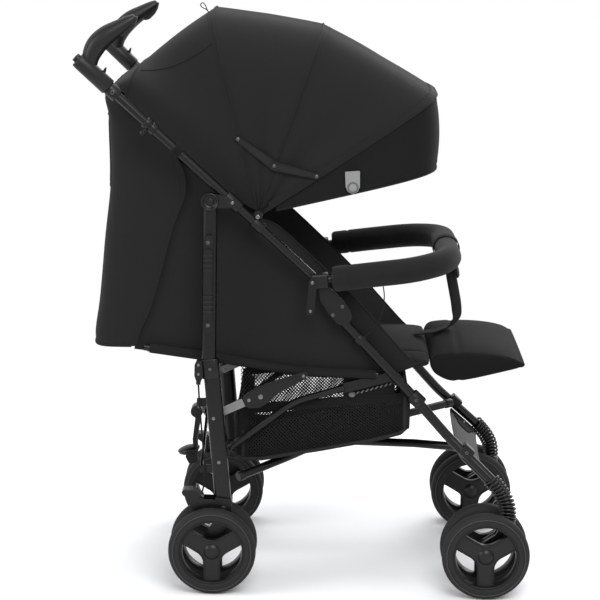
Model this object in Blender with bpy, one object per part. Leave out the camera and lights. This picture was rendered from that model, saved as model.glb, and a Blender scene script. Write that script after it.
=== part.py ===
"""Umbrella-fold pushchair with a reclined seat, an open canopy and eight small wheels.

Metres. +X is forward, +Y is the child's left, +Z is up, and the floor is z = 0.
Points are first written from the rear axle, and the last step centres the whole on the origin.
"""
import math

import bmesh
import bpy
from mathutils import Matrix, Vector

for old in list(bpy.data.objects):
    bpy.data.objects.remove(old, do_unlink=True)

# Sizes that several pieces share
GAP = 0.0003
WHEEL_RADIUS = 0.080
WHEEL_WIDTH = 0.031
RIM_RADIUS = 0.0590
PAIR_SPACING = 0.067
AXLE_RADIUS = 0.0040
REAR_TRACK = 0.413
FRONT_SPREAD = 0.022
HANDLE_FLARE = 0.059
WAIST_INSET = 0.053
CLOTH_INSET = 0.0306
CANOPY_SPREAD = 0.018
BUMPER_OFFSET = 0.020
WHEELBASE = 0.498
CASTER_TRAIL = 0.041
PUSH_TUBE_RADIUS = 0.0080
FRONT_TUBE_RADIUS = 0.0090
RAIL_RADIUS = 0.0062
CROSS_TUBE_RADIUS = 0.0078
SPRING_RADIUS = 0.0135
SPRING_WIRE = 0.0019
SPRING_TURNS = 12
SPRING_POINTS = 8
SPRING_LENGTH = 0.0800
SPRING_LIFT = 0.0060
LEG_PIVOT = (-0.006, 0.719)
LEG_DEPTH = 0.020
LEG_UPPER_WIDTH = 0.026
LEG_LOWER_WIDTH = 0.030
CLOTH = 0.0028
CANOPY_PIVOT = (0.079, 0.692)
BOW_THICKNESS = 0.0026
BOW_WIDTH = 0.0100
FOAM_RADIUS = 0.0235
HANDLE_SLEEVE = 0.072
CLAMP_WIDE = 0.026
CLAMP_HIGH = 0.022
CLAMP_Z = 0.2610
LINK_PIVOT = (0.001, 0.322)
LINK_END = (0.165, 0.399)
BACK_HINGE = (0.2117, 0.4195)
BACK_END = -0.1870
BACK_STATIONS = (
    (0.0, 0.009), (0.03, 0.018), (0.12, 0.026), (0.35, 0.026),
    (0.62, 0.026), (0.88, 0.026), (0.98, 0.018), (1.0, 0.009),
)
FOOTREST_HINGE = (0.3945, 0.4090)
BRAKE_PIVOT = (0.0060, 0.1640)
FOLD_PEDAL_PIVOT = (-0.0420, 0.2845)

FRONT_TRACK = REAR_TRACK + FRONT_SPREAD
HANDLE_TRACK = REAR_TRACK + HANDLE_FLARE
WAIST_TRACK = REAR_TRACK - WAIST_INSET
PANEL_TRACK = WAIST_TRACK - CLOTH_INSET
CANOPY_WIDTH = WAIST_TRACK + CANOPY_SPREAD
BUMPER_TRACK = WAIST_TRACK + 2 * BUMPER_OFFSET
AXLE_HEIGHT = WHEEL_RADIUS
CASTER_X = WHEELBASE + CASTER_TRAIL
WHEEL_INNER_FACE = PAIR_SPACING / 2 - WHEEL_WIDTH / 2
LEG_INNER = REAR_TRACK / 2 - LEG_DEPTH / 2
LEG_OUTER = REAR_TRACK / 2 + LEG_DEPTH / 2
CLOTH_HALF = CANOPY_WIDTH / 2
CLAMP_X = CASTER_X - 0.077
LEG_FACE = WAIST_TRACK / 2 - FRONT_TUBE_RADIUS
RAIL_INNER = PANEL_TRACK / 2 + CLOTH / 2 + 0.0005
SEAT_WIDTH = PANEL_TRACK - CLOTH - 0.0008
SIDES = (("r", -1), ("l", 1))


# Materials
def make_material(name, colour, roughness, metallic=0.0):
    made = bpy.data.materials.new(name)
    made.use_nodes = True
    shader = made.node_tree.nodes["Principled BSDF"]
    shader.inputs["Base Color"].default_value = (*colour, 1)
    shader.inputs["Roughness"].default_value = roughness
    shader.inputs["Metallic"].default_value = metallic
    return made


COLOURS = {
    "tube": ((0.020, 0.020, 0.021), 0.35, 0.2),
    "plastic": ((0.022, 0.022, 0.023), 0.5, 0.0),
    "cloth": ((0.024, 0.024, 0.025), 0.9, 0.0),
    "foam": ((0.026, 0.026, 0.027), 0.95, 0.0),
    "grip": ((0.024, 0.024, 0.025), 0.6, 0.0),
    "tyre": ((0.033, 0.033, 0.034), 0.8, 0.0),
    "steel": ((0.300, 0.300, 0.300), 0.4, 0.8),
    "strap": ((0.150, 0.150, 0.150), 0.8, 0.0),
    "mesh": ((0.020, 0.020, 0.020), 0.9, 0.0),
}


# Mesh building
def round_outline(radius, count=12, wide=1.0, high=1.0):
    """Points of a circle or an ellipse, wide along the first axis and high along the second."""
    turns = [2 * math.pi * (i + 0.5) / count for i in range(count)]
    return [(radius * wide * math.cos(t), radius * high * math.sin(t)) for t in turns]


def box_outline(width, height, corner=0.0, steps=2):
    """A rectangle about zero, with round corners."""
    if not corner:
        a, b = width / 2, height / 2
        return [(-a, -b), (a, -b), (a, b), (-a, b)]
    points = []
    centres = ((1, 1), (-1, 1), (-1, -1), (1, -1))
    for turn, (sx, sy) in enumerate(centres):
        cx = sx * (width / 2 - corner)
        cy = sy * (height / 2 - corner)
        for i in range(steps + 1):
            t = math.pi / 2 * (turn + i / steps)
            points.append((cx + corner * math.cos(t), cy + corner * math.sin(t)))
    return points


def skin(bm, rings, closed_ring=True, caps=True, closed_path=False):
    """Faces between neighbouring rings of vertices, with a cap on each end."""
    count = len(rings[0])
    last = len(rings) if closed_path else len(rings) - 1
    for i in range(last):
        near, far = rings[i], rings[(i + 1) % len(rings)]
        for j in range(count if closed_ring else count - 1):
            k = (j + 1) % count
            bm.faces.new((near[j], near[k], far[k], far[j]))
    if caps and not closed_path:
        bm.faces.new(rings[0])
        bm.faces.new(list(reversed(rings[-1])))


def finish_mesh(bm, name="mesh"):
    bmesh.ops.recalc_face_normals(bm, faces=bm.faces)
    made = bpy.data.meshes.new(name)
    bm.to_mesh(made)
    bm.free()
    return made


def sweep(path, outline, across=(0, 1, 0), sizes=None):
    """A solid that follows the path. The outline's first axis stays near the direction across."""
    bm = bmesh.new()
    across = Vector(across)
    path = [Vector(p) for p in path]
    rings = []
    for i, point in enumerate(path):
        before = (point - path[i - 1]).normalized() if i else None
        after = (path[i + 1] - point).normalized() if i < len(path) - 1 else None
        tangent = ((before or after) + (after or before)).normalized()
        u = (across - across.dot(tangent) * tangent).normalized()
        v = tangent.cross(u)
        size = sizes[i] if sizes else 1.0
        ring = [bm.verts.new(point + size * (a * u + b * v)) for a, b in outline]
        rings.append(ring)
    skin(bm, rings)
    return finish_mesh(bm)


def rod(start, end, radius, count=12):
    start, end = Vector(start), Vector(end)
    along = (end - start).normalized()
    across = (1, 0, 0) if abs(along.x) < 0.9 else (0, 1, 0)
    return sweep([start, end], round_outline(radius, count), across)


def plate(outline, y_from, y_to):
    """A flat piece: an outline of (x, z) points, between two values of y."""
    bm = bmesh.new()
    rings = [[bm.verts.new((x, y, z)) for x, z in outline] for y in (y_from, y_to)]
    skin(bm, rings)
    return finish_mesh(bm)


def lathe(profile, centre, axis=(0, 1, 0), count=24):
    """A turned solid: a closed profile of (radius, distance along the axis) points."""
    bm = bmesh.new()
    axis = Vector(axis).normalized()
    side = axis.orthogonal().normalized()
    other = axis.cross(side)
    rings = []
    for i in range(count):
        t = 2 * math.pi * i / count
        out = math.cos(t) * side + math.sin(t) * other
        rings.append([bm.verts.new(Vector(centre) + r * out + d * axis) for r, d in profile])
    skin(bm, rings, closed_path=True)
    bmesh.ops.remove_doubles(bm, verts=bm.verts, dist=1e-6)
    bmesh.ops.dissolve_degenerate(bm, dist=1e-7, edges=bm.edges)
    return finish_mesh(bm)


def disc(centre, radius, y_from, y_to, count=20):
    x, z = centre
    return rod((x, y_from, z), (x, y_to, z), radius, count)


def turned_path(corners, radii, steps=4):
    """The corner points with each inner corner rounded to its radius."""
    corners = [Vector(c) for c in corners]
    path = [corners[0]]
    for before, corner, after, radius in zip(corners, corners[1:], corners[2:], radii):
        a = (before - corner).normalized()
        b = (after - corner).normalized()
        half = a.angle(b) / 2
        if half > 1.56:
            path.append(corner)
            continue
        room = 0.48 * min((before - corner).length, (after - corner).length)
        reach = min(radius / math.tan(half), room)
        middle = corner + (a + b).normalized() * (reach * math.tan(half) / math.sin(half))
        start, end = corner + a * reach - middle, corner + b * reach - middle
        turn = math.pi - 2 * half
        for i in range(steps + 1):
            t = turn * i / steps
            path.append(middle + (math.sin(turn - t) * start + math.sin(t) * end) / math.sin(turn))
    path.append(corners[-1])
    return path


def combined(pieces, cuts=()):
    """One mesh: the union of the pieces, less the cuts."""
    helpers = []
    for mesh in [*pieces, *cuts]:
        helper = bpy.data.objects.new("helper", mesh)
        bpy.context.scene.collection.objects.link(helper)
        helpers.append(helper)
    base = helpers[0]
    for i, helper in enumerate(helpers[1:], start=1):
        step = base.modifiers.new("step", "BOOLEAN")
        step.operation = "UNION" if i < len(pieces) else "DIFFERENCE"
        step.solver = "EXACT"
        step.object = helper
    bpy.context.view_layer.update()
    graph = bpy.context.evaluated_depsgraph_get()
    made = bpy.data.meshes.new_from_object(base.evaluated_get(graph))
    for helper in helpers:
        bpy.data.objects.remove(helper, do_unlink=True)
    return made


MATERIALS = {name: make_material(name, *look) for name, look in COLOURS.items()}


def add(name, mesh, slot, origin=(0, 0, 0)):
    """An object whose own origin is the given point, such as a point on its joint's axis."""
    mesh.transform(Matrix.Translation(-Vector(origin)))
    mesh.materials.clear()
    mesh.materials.append(MATERIALS[slot])
    made = bpy.data.objects.new(name, mesh)
    made.location = origin
    bpy.context.scene.collection.objects.link(made)
    return made


def between(a, b, share):
    return a + (b - a) * share


# Lines of the side frame, as (x, half track, z)
TUBE_TOP = (-0.183, HANDLE_TRACK / 2, 0.9215)
TUBE_END = (0.186, WAIST_TRACK / 2 + 0.0135, 0.5751)
LEG_TOP = (0.2050, WAIST_TRACK / 2, 0.5280)
LEG_LINE = (
    LEG_TOP,
    (0.3600, WAIST_TRACK / 2, 0.3630),
    (CASTER_X - 0.112, WAIST_TRACK / 2 + 0.008, 0.2880),
    (CASTER_X - 0.065, WAIST_TRACK / 2 + 0.020, 0.2440),
    (CASTER_X - 0.031, FRONT_TRACK / 2 - 0.007, 0.2120),
    (CASTER_X, FRONT_TRACK / 2, 0.1750),
)
STEM_BOTTOM = 0.1060
HOUSING_TOP = 0.1380


def leg_line(side, steps):
    """The bent line of a front leg's tube, down to the lower end of its stem."""
    corners = [*LEG_LINE, (CASTER_X, FRONT_TRACK / 2, STEM_BOTTOM)]
    return turned_path([(x, side * y, z) for x, y, z in corners], [0.2, 0.2, 0.2, 0.06, 0.065], steps)


def on_tube(share):
    return Vector(TUBE_TOP).lerp(Vector(TUBE_END), share)


def tube_at(x):
    return on_tube((x - TUBE_TOP[0]) / (TUBE_END[0] - TUBE_TOP[0]))


def flip(point, side):
    return Vector((point[0], side * point[1], point[2]))


# Push tubes, each with its handle collar, clamp, cloth sleeve and canopy clip
def build_push_tube(tag, side):
    top, end = flip(TUBE_TOP, side), flip(TUBE_END, side)
    along = (end - top).normalized()
    collar_end = top + along * 0.022
    clamp = flip(tube_at(-0.111), side)
    sleeve = flip(tube_at(-0.064), side)
    clip = flip(tube_at(CANOPY_PIVOT[0]), side)
    knob = clamp + Vector((-0.005, 0, -0.005))
    pieces = [
        rod(top, end, PUSH_TUBE_RADIUS),
        rod(top, collar_end, PUSH_TUBE_RADIUS + 0.0048, 16),
        rod(clamp - along * 0.013, clamp + along * 0.013, PUSH_TUBE_RADIUS + 0.0035),
        rod(knob, knob + Vector((-0.012, 0, -0.011)), 0.0050),
        rod(sleeve - along * 0.008, sleeve + along * 0.008, PUSH_TUBE_RADIUS + 0.0016),
        rod(clip - along * 0.011, clip + along * 0.011, PUSH_TUBE_RADIUS + 0.0026),
        disc(CANOPY_PIVOT, 0.0085, side * (CLOTH_HALF + 0.0095), clip.y - side * 0.002),
        disc(CANOPY_PIVOT, 0.0035, side * (CLOTH_HALF + 0.0105), side * (CLOTH_HALF - 0.0200), 8),
    ]
    add("push_tube_" + tag, combined(pieces), "tube", top)
    return top, along


# Hubs that carry the rear legs
def build_hub(tag, side):
    px, pz = LEG_PIVOT
    outer = LEG_OUTER + GAP + 0.0004
    mid = flip(tube_at(0.034), side)
    along = (flip(TUBE_END, side) - flip(TUBE_TOP, side)).normalized()
    dish = [
        (0.0, side * outer),
        (0.0163, side * outer),
        (0.0163, side * (outer + 0.0060)),
        (0.0148, side * (outer + 0.0078)),
        (0.0120, side * (outer + 0.0062)),
        (0.0045, side * (outer + 0.0030)),
        (0.0, side * (outer + 0.0030)),
    ]
    arm = [
        (px + 0.004, pz + 0.0135),
        (mid.x - 0.008, mid.z + 0.014),
        (mid.x + 0.010, mid.z + 0.004),
        (mid.x + 0.002, mid.z - 0.010),
        (px + 0.010, pz - 0.011),
    ]
    pieces = [
        lathe(dish, (px, 0, pz), (0, 1, 0), 16),
        plate(arm, side * outer, side * (outer + 0.0045)),
        rod(mid - along * 0.017, mid + along * 0.017, PUSH_TUBE_RADIUS + 0.0042, 12),
        disc((px, pz), 0.0050, side * (outer + 0.001), side * (LEG_INNER + 0.0015), 12),
    ]
    bore = rod(mid - along * 0.030, mid + along * 0.030, PUSH_TUBE_RADIUS + 0.0007, 12)
    add("hinge_hub_" + tag, combined(pieces, [bore]), "plastic", (px, side * outer, pz))


# Front legs, each with the leaf plate, bumper socket, collar and clamps that are fixed to it
def build_front_leg(tag, side):
    half = WAIST_TRACK / 2
    stem_top = Vector((CASTER_X, side * FRONT_TRACK / 2, HOUSING_TOP + SPRING_LIFT))
    seat_low = Vector((CASTER_X, side * FRONT_TRACK / 2, HOUSING_TOP - 0.0006))
    path = [*leg_line(side, 2)[:-1], stem_top]
    leaf_y = half + FRONT_TUBE_RADIUS - 0.002
    leaf = [
        (0.1885, 0.5640), (0.1960, 0.5690), (0.2120, 0.5590), (0.2330, 0.5390), (0.2470, 0.5190),
        (0.2500, 0.5070), (0.2450, 0.4960), (0.2340, 0.4900), (0.2220, 0.4960), (0.2060, 0.5150),
        (0.1920, 0.5370),
    ]
    start = Vector((0.360, side * half, 0.363))
    down = Vector((0.727, 0, -0.687))
    small = flip(LEG_TOP, side).lerp(flip(LEG_LINE[1], side), 0.385)
    socket = box_outline(0.031, 0.026, 0.004)
    socket_end = Vector((0.2060, side * (BUMPER_TRACK / 2 - 0.0020), 0.5765))
    socket_start = Vector((0.1760, side * (BUMPER_TRACK / 2 - 0.0020), 0.5745))
    link = [(0.1715, 0.5770), (0.1765, 0.5840), (0.1850, 0.5800), (0.1860, 0.5700),
            (0.1815, 0.5230), (0.1770, 0.5145), (0.1700, 0.5150), (0.1670, 0.5220)]
    clamp = Vector((CLAMP_X, side * (half + 0.014), CLAMP_Z))
    pieces = [
        sweep(path, round_outline(FRONT_TUBE_RADIUS, 10)),
        rod(stem_top, (CASTER_X, side * FRONT_TRACK / 2, STEM_BOTTOM), 0.0065, 12),
        rod(seat_low, seat_low + Vector((0, 0, SPRING_LIFT - SPRING_WIRE + 0.0003)),
            SPRING_RADIUS + 0.0012, 12),
        plate(leaf, side * leaf_y, side * (leaf_y + 0.0055)),
        rod(start, start + down * 0.026, FRONT_TUBE_RADIUS + 0.0040, 12),
        rod(small - down * 0.007, small + down * 0.007, FRONT_TUBE_RADIUS + 0.0022, 12),
        sweep([socket_start, socket_end], socket),
        plate(link, side * (BUMPER_TRACK / 2 + 0.0125), side * (BUMPER_TRACK / 2 + 0.0160)),
        sweep([clamp - down * 0.012, clamp + down * 0.012], box_outline(CLAMP_WIDE, CLAMP_HIGH, 0.004)),
    ]
    plug = rod((0.1938, side * BUMPER_TRACK / 2, 0.5764), (0.210, side * BUMPER_TRACK / 2, 0.5779),
        0.0071, 12)
    tube_room = rod(flip(tube_at(0.120), side), flip(tube_at(0.1866), side), PUSH_TUBE_RADIUS + 0.0006, 12)
    add("front_leg_" + tag, combined(pieces, [plug, tube_room]), "tube", stem_top)


# Caster springs wound round the bent stems
def along_line(path, distance):
    """The point at this distance from the start of the path."""
    for a, b in zip(path, path[1:]):
        length = (b - a).length
        if distance <= length:
            return a.lerp(b, distance / length)
        distance -= length
    return path[-1]


def build_spring(tag, side):
    path = leg_line(side, 9)
    total = sum((b - a).length for a, b in zip(path, path[1:]))
    end = total - (HOUSING_TOP + SPRING_LIFT - STEM_BOTTOM)
    start = end - SPRING_LENGTH
    reach = 0.010
    steps = int(SPRING_TURNS * SPRING_POINTS)
    points = []
    for i in range(steps + 1):
        share = i / steps
        here = between(start, end, share)
        before, centre, after = (along_line(path, here + k * reach) for k in (-1, 0, 1))
        middle = (before + centre + after) / 3
        tangent = (after - before).normalized()
        u = (Vector((0, 1, 0)) - tangent.y * tangent).normalized()
        v = tangent.cross(u)
        angle = 2 * math.pi * SPRING_TURNS * share * side
        points.append(middle + SPRING_RADIUS * (math.cos(angle) * u + math.sin(angle) * v))
    least = min(
        (points[i] - points[j]).length
        for i in range(len(points))
        for j in range(i + 6, min(i + 14, len(points)))
    )
    clear = (least - 2 * SPRING_WIRE) * 1000
    print("least gap between neighbouring curls of caster_spring_%s: %.2f mm" % (tag, clear))
    curve = bpy.data.curves.new("spring", "CURVE")
    curve.dimensions = "3D"
    curve.bevel_depth = SPRING_WIRE
    curve.bevel_resolution = 1
    curve.use_fill_caps = True
    line = curve.splines.new("POLY")
    line.points.add(len(points) - 1)
    for target, point in zip(line.points, points):
        target.co = (*point, 1)
    curve.materials.append(MATERIALS["steel"])
    made = bpy.data.objects.new("caster_spring_" + tag, curve)
    bpy.context.scene.collection.objects.link(made)


# Seat side frames: the tube along the seat's edge and the bent brace below it
def build_side_frame(tag, side):
    y_tube = side * (RAIL_INNER + RAIL_RADIUS)
    edge = [(-0.128, y_tube, 0.4435), (0.010, y_tube, 0.4250), (0.150, y_tube, 0.4020),
        (0.299, y_tube, 0.3973)]
    brace = [(0.024, y_tube, 0.2530), (0.146, y_tube, 0.3450), (0.237, y_tube, 0.3720)]
    bar = [(0.225, 0.3630), (0.240, 0.3620), (0.330, 0.3860), (0.335, 0.3980), (0.322, 0.4020),
        (0.228, 0.3780)]
    boss_x, boss_z = brace[0][0], brace[0][2]
    path = turned_path(edge, [0.3, 0.3], 2)
    lower = turned_path([brace[0], brace[1], brace[2]], [0.12], 4)
    pieces = [
        sweep(path, round_outline(RAIL_RADIUS, 10)),
        sweep(lower, round_outline(RAIL_RADIUS, 10)),
        plate(bar, side * (LEG_FACE - 0.0034), side * (LEG_FACE - 0.0004)),
        disc((boss_x, boss_z), 0.0070, y_tube - side * 0.003, side * (LEG_INNER - 0.0012), 14),
    ]
    add("seat_side_frame_" + tag, combined(pieces), "tube", (0.324, side * LEG_FACE, 0.394))


# Long bars that cross under the basket, from one side's rear to the other side's front
def build_lower_cross(tag, side, lift):
    clamp_y = WAIST_TRACK / 2 + 0.014 - CLAMP_WIDE / 2 - 0.0005
    points = [
        (0.045, side * (LEG_INNER - 0.010), 0.2050),
        (0.140, side * 0.54 * LEG_INNER, 0.2215 + lift * 0.4),
        (0.240, 0.0, 0.2360 + lift),
        (0.370, -side * 0.53 * LEG_INNER, 0.2550 + lift * 0.4),
        (CLAMP_X - 0.0075, -side * (clamp_y - 0.0062), CLAMP_Z + 0.0025),
    ]
    path = turned_path(points, [0.5, 0.5, 0.5], 2)
    add("lower_cross_bar_" + tag, sweep(path, round_outline(CROSS_TUBE_RADIUS, 10), (0, 0, 1)), "tube",
        points[2])


# Rear legs
def build_rear_leg(tag, side):
    px, pz = LEG_PIVOT
    y = side * REAR_TRACK / 2
    ax, az = LINK_PIVOT
    upper = box_outline(LEG_DEPTH, LEG_UPPER_WIDTH, 0.0070, 2)
    lower = box_outline(LEG_DEPTH, LEG_LOWER_WIDTH, 0.0075, 2)
    foot = [
        (0.0050, 0.1750), (0.0360, 0.1720), (0.0330, 0.1400), (0.0220, AXLE_HEIGHT + 0.020),
        (0.0185, AXLE_HEIGHT - 0.004), (0.0090, AXLE_HEIGHT - 0.016), (-0.0090, AXLE_HEIGHT - 0.016),
        (-0.0180, AXLE_HEIGHT - 0.002), (-0.0150, AXLE_HEIGHT + 0.022), (0.0010, 0.1300),
    ]
    half_foot = WHEEL_INNER_FACE - 0.0020
    pieces = [
        sweep([(px, y, pz), (-0.0080, y, 0.4300)], upper),
        sweep([(-0.0045, y, 0.4250), (0.0195, y, 0.1550)], lower),
        sweep([(-0.0080, y + side * 0.0010, 0.4310), (-0.0030, y + side * 0.0010, 0.3960)],
            box_outline(0.0220, 0.0335, 0.0080)),
        disc((px, pz), 0.0145, y - side * LEG_DEPTH / 2, y + side * LEG_DEPTH / 2, 14),
        plate(foot, y - side * half_foot, y + side * half_foot),
        disc((0, AXLE_HEIGHT), 0.0120, y - side * (half_foot + 0.0014), y + side * (half_foot + 0.0014),
            12),
        disc((0, AXLE_HEIGHT), AXLE_RADIUS, y - 0.0430, y + 0.0430, 12),
        disc((ax, az), 0.0030, y - side * 0.004, side * (LEG_INNER - 0.0052), 12),
    ]
    hole = disc((px, pz), 0.0054, y - LEG_DEPTH, y + LEG_DEPTH, 12)
    add("rear_leg_" + tag, combined(pieces, [hole]), "tube", (px, y, pz))


# Flat bars that cross behind the rear legs, with the two ends of each on the legs' inner faces
def build_rear_cross(tag, side, depth):
    reach = LEG_INNER - 0.0006
    top, bottom, back = 0.3470, 0.2220, -0.0220 - depth
    ends = [(back, -side * reach, bottom), (back, side * reach, top)]
    lug = 0.0045
    bar = sweep(ends, box_outline(0.0150, 0.0050), (0, 0, 1))
    feet = []
    for x, y, z in ends:
        sign = 1 if y > 0 else -1
        outline = [(x - 0.0030, z - 0.0075), (-0.0010, z - 0.0075), (-0.0010, z + 0.0075),
            (x - 0.0030, z + 0.0075)]
        feet.append(plate(outline, y - sign * lug, y))
    add("rear_cross_bar_" + tag, combined([bar, *feet]), "tube", (back, 0, (top + bottom) / 2))


# Wheels
def wheel_mesh():
    """Axis along Y, outer face towards +Y, the hub's bore open on the inner face."""
    half = WHEEL_WIDTH / 2
    r, w = WHEEL_RADIUS, RIM_RADIUS
    ring = [
        (w, -half + 0.0020), (w, half - 0.0020), (r - 0.0085, half),
        (r - 0.0012, half - 0.0078), (r, 0.0), (r - 0.0012, -half + 0.0078), (r - 0.0085, -half),
    ]
    outline = []
    for k in range(3):
        middle = math.radians(-90 + 120 * k)
        out = Vector((math.cos(middle), math.sin(middle)))
        left = Vector((-out.y, out.x))
        for along, across in ((0.0270, -0.0150), (0.0400, -0.0128), (w + 0.0015, -0.0138),
            (w + 0.0015, 0.0138), (0.0400, 0.0128), (0.0270, 0.0150)):
            outline.append(tuple(out * along + left * across))
    core = [(0.0, 0.0111), (0.0, -half - 0.01), (AXLE_RADIUS + 0.0004, -half - 0.01),
        (AXLE_RADIUS + 0.0004, 0.0111)]
    solid_hub = [(0.0, -half), (0.0130, -half), (0.0140, 0.0100), (0.0110, 0.0120), (0.0, 0.0125)]
    pieces = [
        lathe(ring, (0, 0, 0), (0, 1, 0), 24),
        plate(outline, -0.0040, 0.0090),
        lathe(solid_hub, (0, 0, 0), (0, 1, 0), 10),
    ]
    return combined(pieces, [lathe(core, (0, 0, 0), (0, 1, 0), 8)])


def build_wheels():
    shared = wheel_mesh()
    shared.materials.append(MATERIALS["tyre"])
    for place, x, track in (("rear", 0.0, REAR_TRACK), ("front", WHEELBASE, FRONT_TRACK)):
        for tag, side in SIDES:
            for spot, step in (("outer", 1), ("inner", -1)):
                made = bpy.data.objects.new("wheel_%s_%s_%s" % (place, spot, tag), shared)
                outward = side * step
                made.location = (x, side * track / 2 + outward * PAIR_SPACING / 2, AXLE_HEIGHT)
                if outward < 0:
                    made.rotation_euler = (0, 0, math.pi)
                bpy.context.scene.collection.objects.link(made)


# Caster forks
def build_fork(tag, side):
    y = side * FRONT_TRACK / 2
    x, back = CASTER_X, WHEELBASE
    body = [
        (x + 0.0135, HOUSING_TOP - 0.0080), (x + 0.0130, 0.1020), (x - 0.0020, 0.0800),
        (back + 0.0110, AXLE_HEIGHT - 0.0150), (back - 0.0070, AXLE_HEIGHT - 0.0150),
        (back - 0.0140, AXLE_HEIGHT - 0.0020), (back - 0.0120, AXLE_HEIGHT + 0.0130),
        (x - 0.0230, 0.1130), (x - 0.0135, HOUSING_TOP - 0.0080),
    ]
    half = WHEEL_INNER_FACE - 0.0020
    pieces = [
        plate(body, y - half + 0.002, y + half - 0.002),
        rod((x, y, 0.0980), (x, y, HOUSING_TOP - 0.0010), 0.0140, 12),
        disc((back, AXLE_HEIGHT), 0.0110, y - half - 0.0014, y + half + 0.0014, 12),
        disc((back, AXLE_HEIGHT), AXLE_RADIUS, y - 0.0430, y + 0.0430, 12),
    ]
    bore = rod((x, y, STEM_BOTTOM - 0.0010), (x, y, HOUSING_TOP + 0.01), 0.0070, 12)
    add("caster_fork_" + tag, combined(pieces, [bore]), "plastic", (x, y, HOUSING_TOP))


# Folding links between the rear legs and the seat tubes
LINK_Y = LEG_INNER - 0.0010


def build_link(tag, side):
    ax, az = LINK_PIVOT
    cx, cz = LINK_END
    along = Vector((cx - ax, cz - az)).normalized()
    across = Vector((-along.y, along.x))

    def at(a, b):
        return (ax + along.x * a + across.x * b, az + along.y * a + across.y * b)

    strip = [at(-0.0080, -0.0040), at(-0.0080, 0.0040), at(-0.0040, 0.0080), at(0.0590, 0.0080),
        at(0.0590, -0.0080), at(-0.0040, -0.0080)]
    inner, outer = side * (LINK_Y - 0.0040), side * (LINK_Y - 0.0010)
    hole = disc(LINK_PIVOT, 0.0034, side * (LINK_Y - LEG_DEPTH), side * (LINK_Y + LEG_DEPTH), 12)
    strut = combined([plate(strip, inner, outer)], [hole])
    add("lock_strut_" + tag, strut, "steel", (ax, side * LINK_Y, az))
    shell = [
        at(0.0596, -0.0080), at(0.0640, -0.0140), at(0.0820, -0.0210), at(0.1020, -0.0185),
        at(0.1200, -0.0110),
        at(0.1800, -0.0070), at(0.1880, -0.0010), at(0.1860, 0.0060), at(0.1780, 0.0080),
        at(0.1500, 0.0100),
        at(0.1200, 0.0145), at(0.0900, 0.0150), at(0.0680, 0.0120), at(0.0596, 0.0060),
    ]
    add("knuckle_arm_" + tag, plate(shell, side * (LINK_Y - 0.0046), side * LINK_Y), "plastic",
        (ax, side * LINK_Y, az))


# Handles: a soft grip on a sleeve that turns on the push tube, and the button that frees it
def build_handle(tag, side, top, along):
    up = -along
    base = top + up * 0.0004
    sleeve_end = base + up * HANDLE_SLEEVE
    grip_points = [
        (-0.2150, 0.9560), (-0.2130, 0.9760), (-0.2030, 0.9960), (-0.1860, 1.0125),
        (-0.1650, 1.0260), (-0.1460, 1.0380), (-0.1365, 1.0440),
    ]
    sizes = [0.0120, 0.0165, 0.0190, 0.0180, 0.0145, 0.0105, 0.0070]
    y = base.y + side * 0.002
    path = [(x, y, z) for x, z in grip_points]
    pieces = [
        rod(base, sleeve_end, 0.0150, 14),
        sweep(path, round_outline(1.0, 10, 1.02, 0.95), (0, 1, 0), sizes),
    ]
    button_at = sleeve_end + up * 0.0002
    pocket = rod(button_at - up * 0.0095, button_at + up * 0.010, 0.0085, 14)
    add("handle_grip_" + tag, combined(pieces, [pocket]), "grip", base)
    add("handle_button_" + tag, rod(button_at - up * 0.0050, button_at + up * 0.0065, 0.0080, 14),
        "plastic", button_at)
    return base, button_at


# Canopy: every bow and every cloth panel is an arch between a foot on each side and a top point
ARCH_SQUARENESS = 5.0
ARCH_STEPS = 14
CANOPY_START = 0.10
CANOPY_REAR_EDGE = ((-0.1500, 0.9080), (-0.1460, 0.9450))


def arch(foot, top, half_width, start=0.0, steps=ARCH_STEPS):
    """Points of one arch from the right foot over the top to the left foot."""
    foot, top = Vector(foot), Vector(top)
    power = 2.0 / ARCH_SQUARENESS
    first = math.asin(max(start, 1e-9) ** (1 / power)) if start else 0.0
    points = []
    for i in range(steps + 1):
        t = between(first, math.pi - first, i / steps)
        rise = abs(math.sin(t)) ** power
        y = -half_width * math.copysign(abs(math.cos(t)) ** power, math.cos(t))
        points.append(Vector((between(foot[0], top[0], rise), y, between(foot[1], top[1], rise))))
    return points


def shell(outer, thickness, inward):
    """A closed skin: the outer grid of points, and the same grid moved by the inward rule."""
    bm = bmesh.new()
    rows, columns = len(outer), len(outer[0])
    grid = [[bm.verts.new(p) for p in row] for row in outer]
    under = [[bm.verts.new(inward(p, thickness)) for p in row] for row in outer]
    for i in range(rows - 1):
        for j in range(columns - 1):
            bm.faces.new((grid[i][j], grid[i][j + 1], grid[i + 1][j + 1], grid[i + 1][j]))
            bm.faces.new((under[i][j], under[i + 1][j], under[i + 1][j + 1], under[i][j + 1]))
    edge = [(i, 0) for i in range(rows)] + [(rows - 1, j) for j in range(1, columns)]
    edge += [(i, columns - 1) for i in range(rows - 2, -1, -1)]
    edge += [(0, j) for j in range(columns - 2, 0, -1)]
    for (a, b), (c, d) in zip(edge, edge[1:] + edge[:1]):
        bm.faces.new((grid[a][b], grid[c][d], under[c][d], under[a][b]))
    return finish_mesh(bm)


BOW_ANGLES = {"rear": 104.0, "middle": 71.0, "front": 33.4, "visor": 13.2}
BOW_REACH = {"rear": 0.367, "middle": 0.345, "front": 0.382, "visor": 0.332}
BOW_FOOT = {"rear": CLOTH_HALF - 0.0170, "middle": CLOTH_HALF - 0.0135, "front": CLOTH_HALF - 0.0100}


def bow_top(name, extra=0.0):
    angle = math.radians(BOW_ANGLES[name])
    reach = BOW_REACH[name] + extra
    return (CANOPY_PIVOT[0] + reach * math.cos(angle), CANOPY_PIVOT[1] + reach * math.sin(angle))


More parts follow.
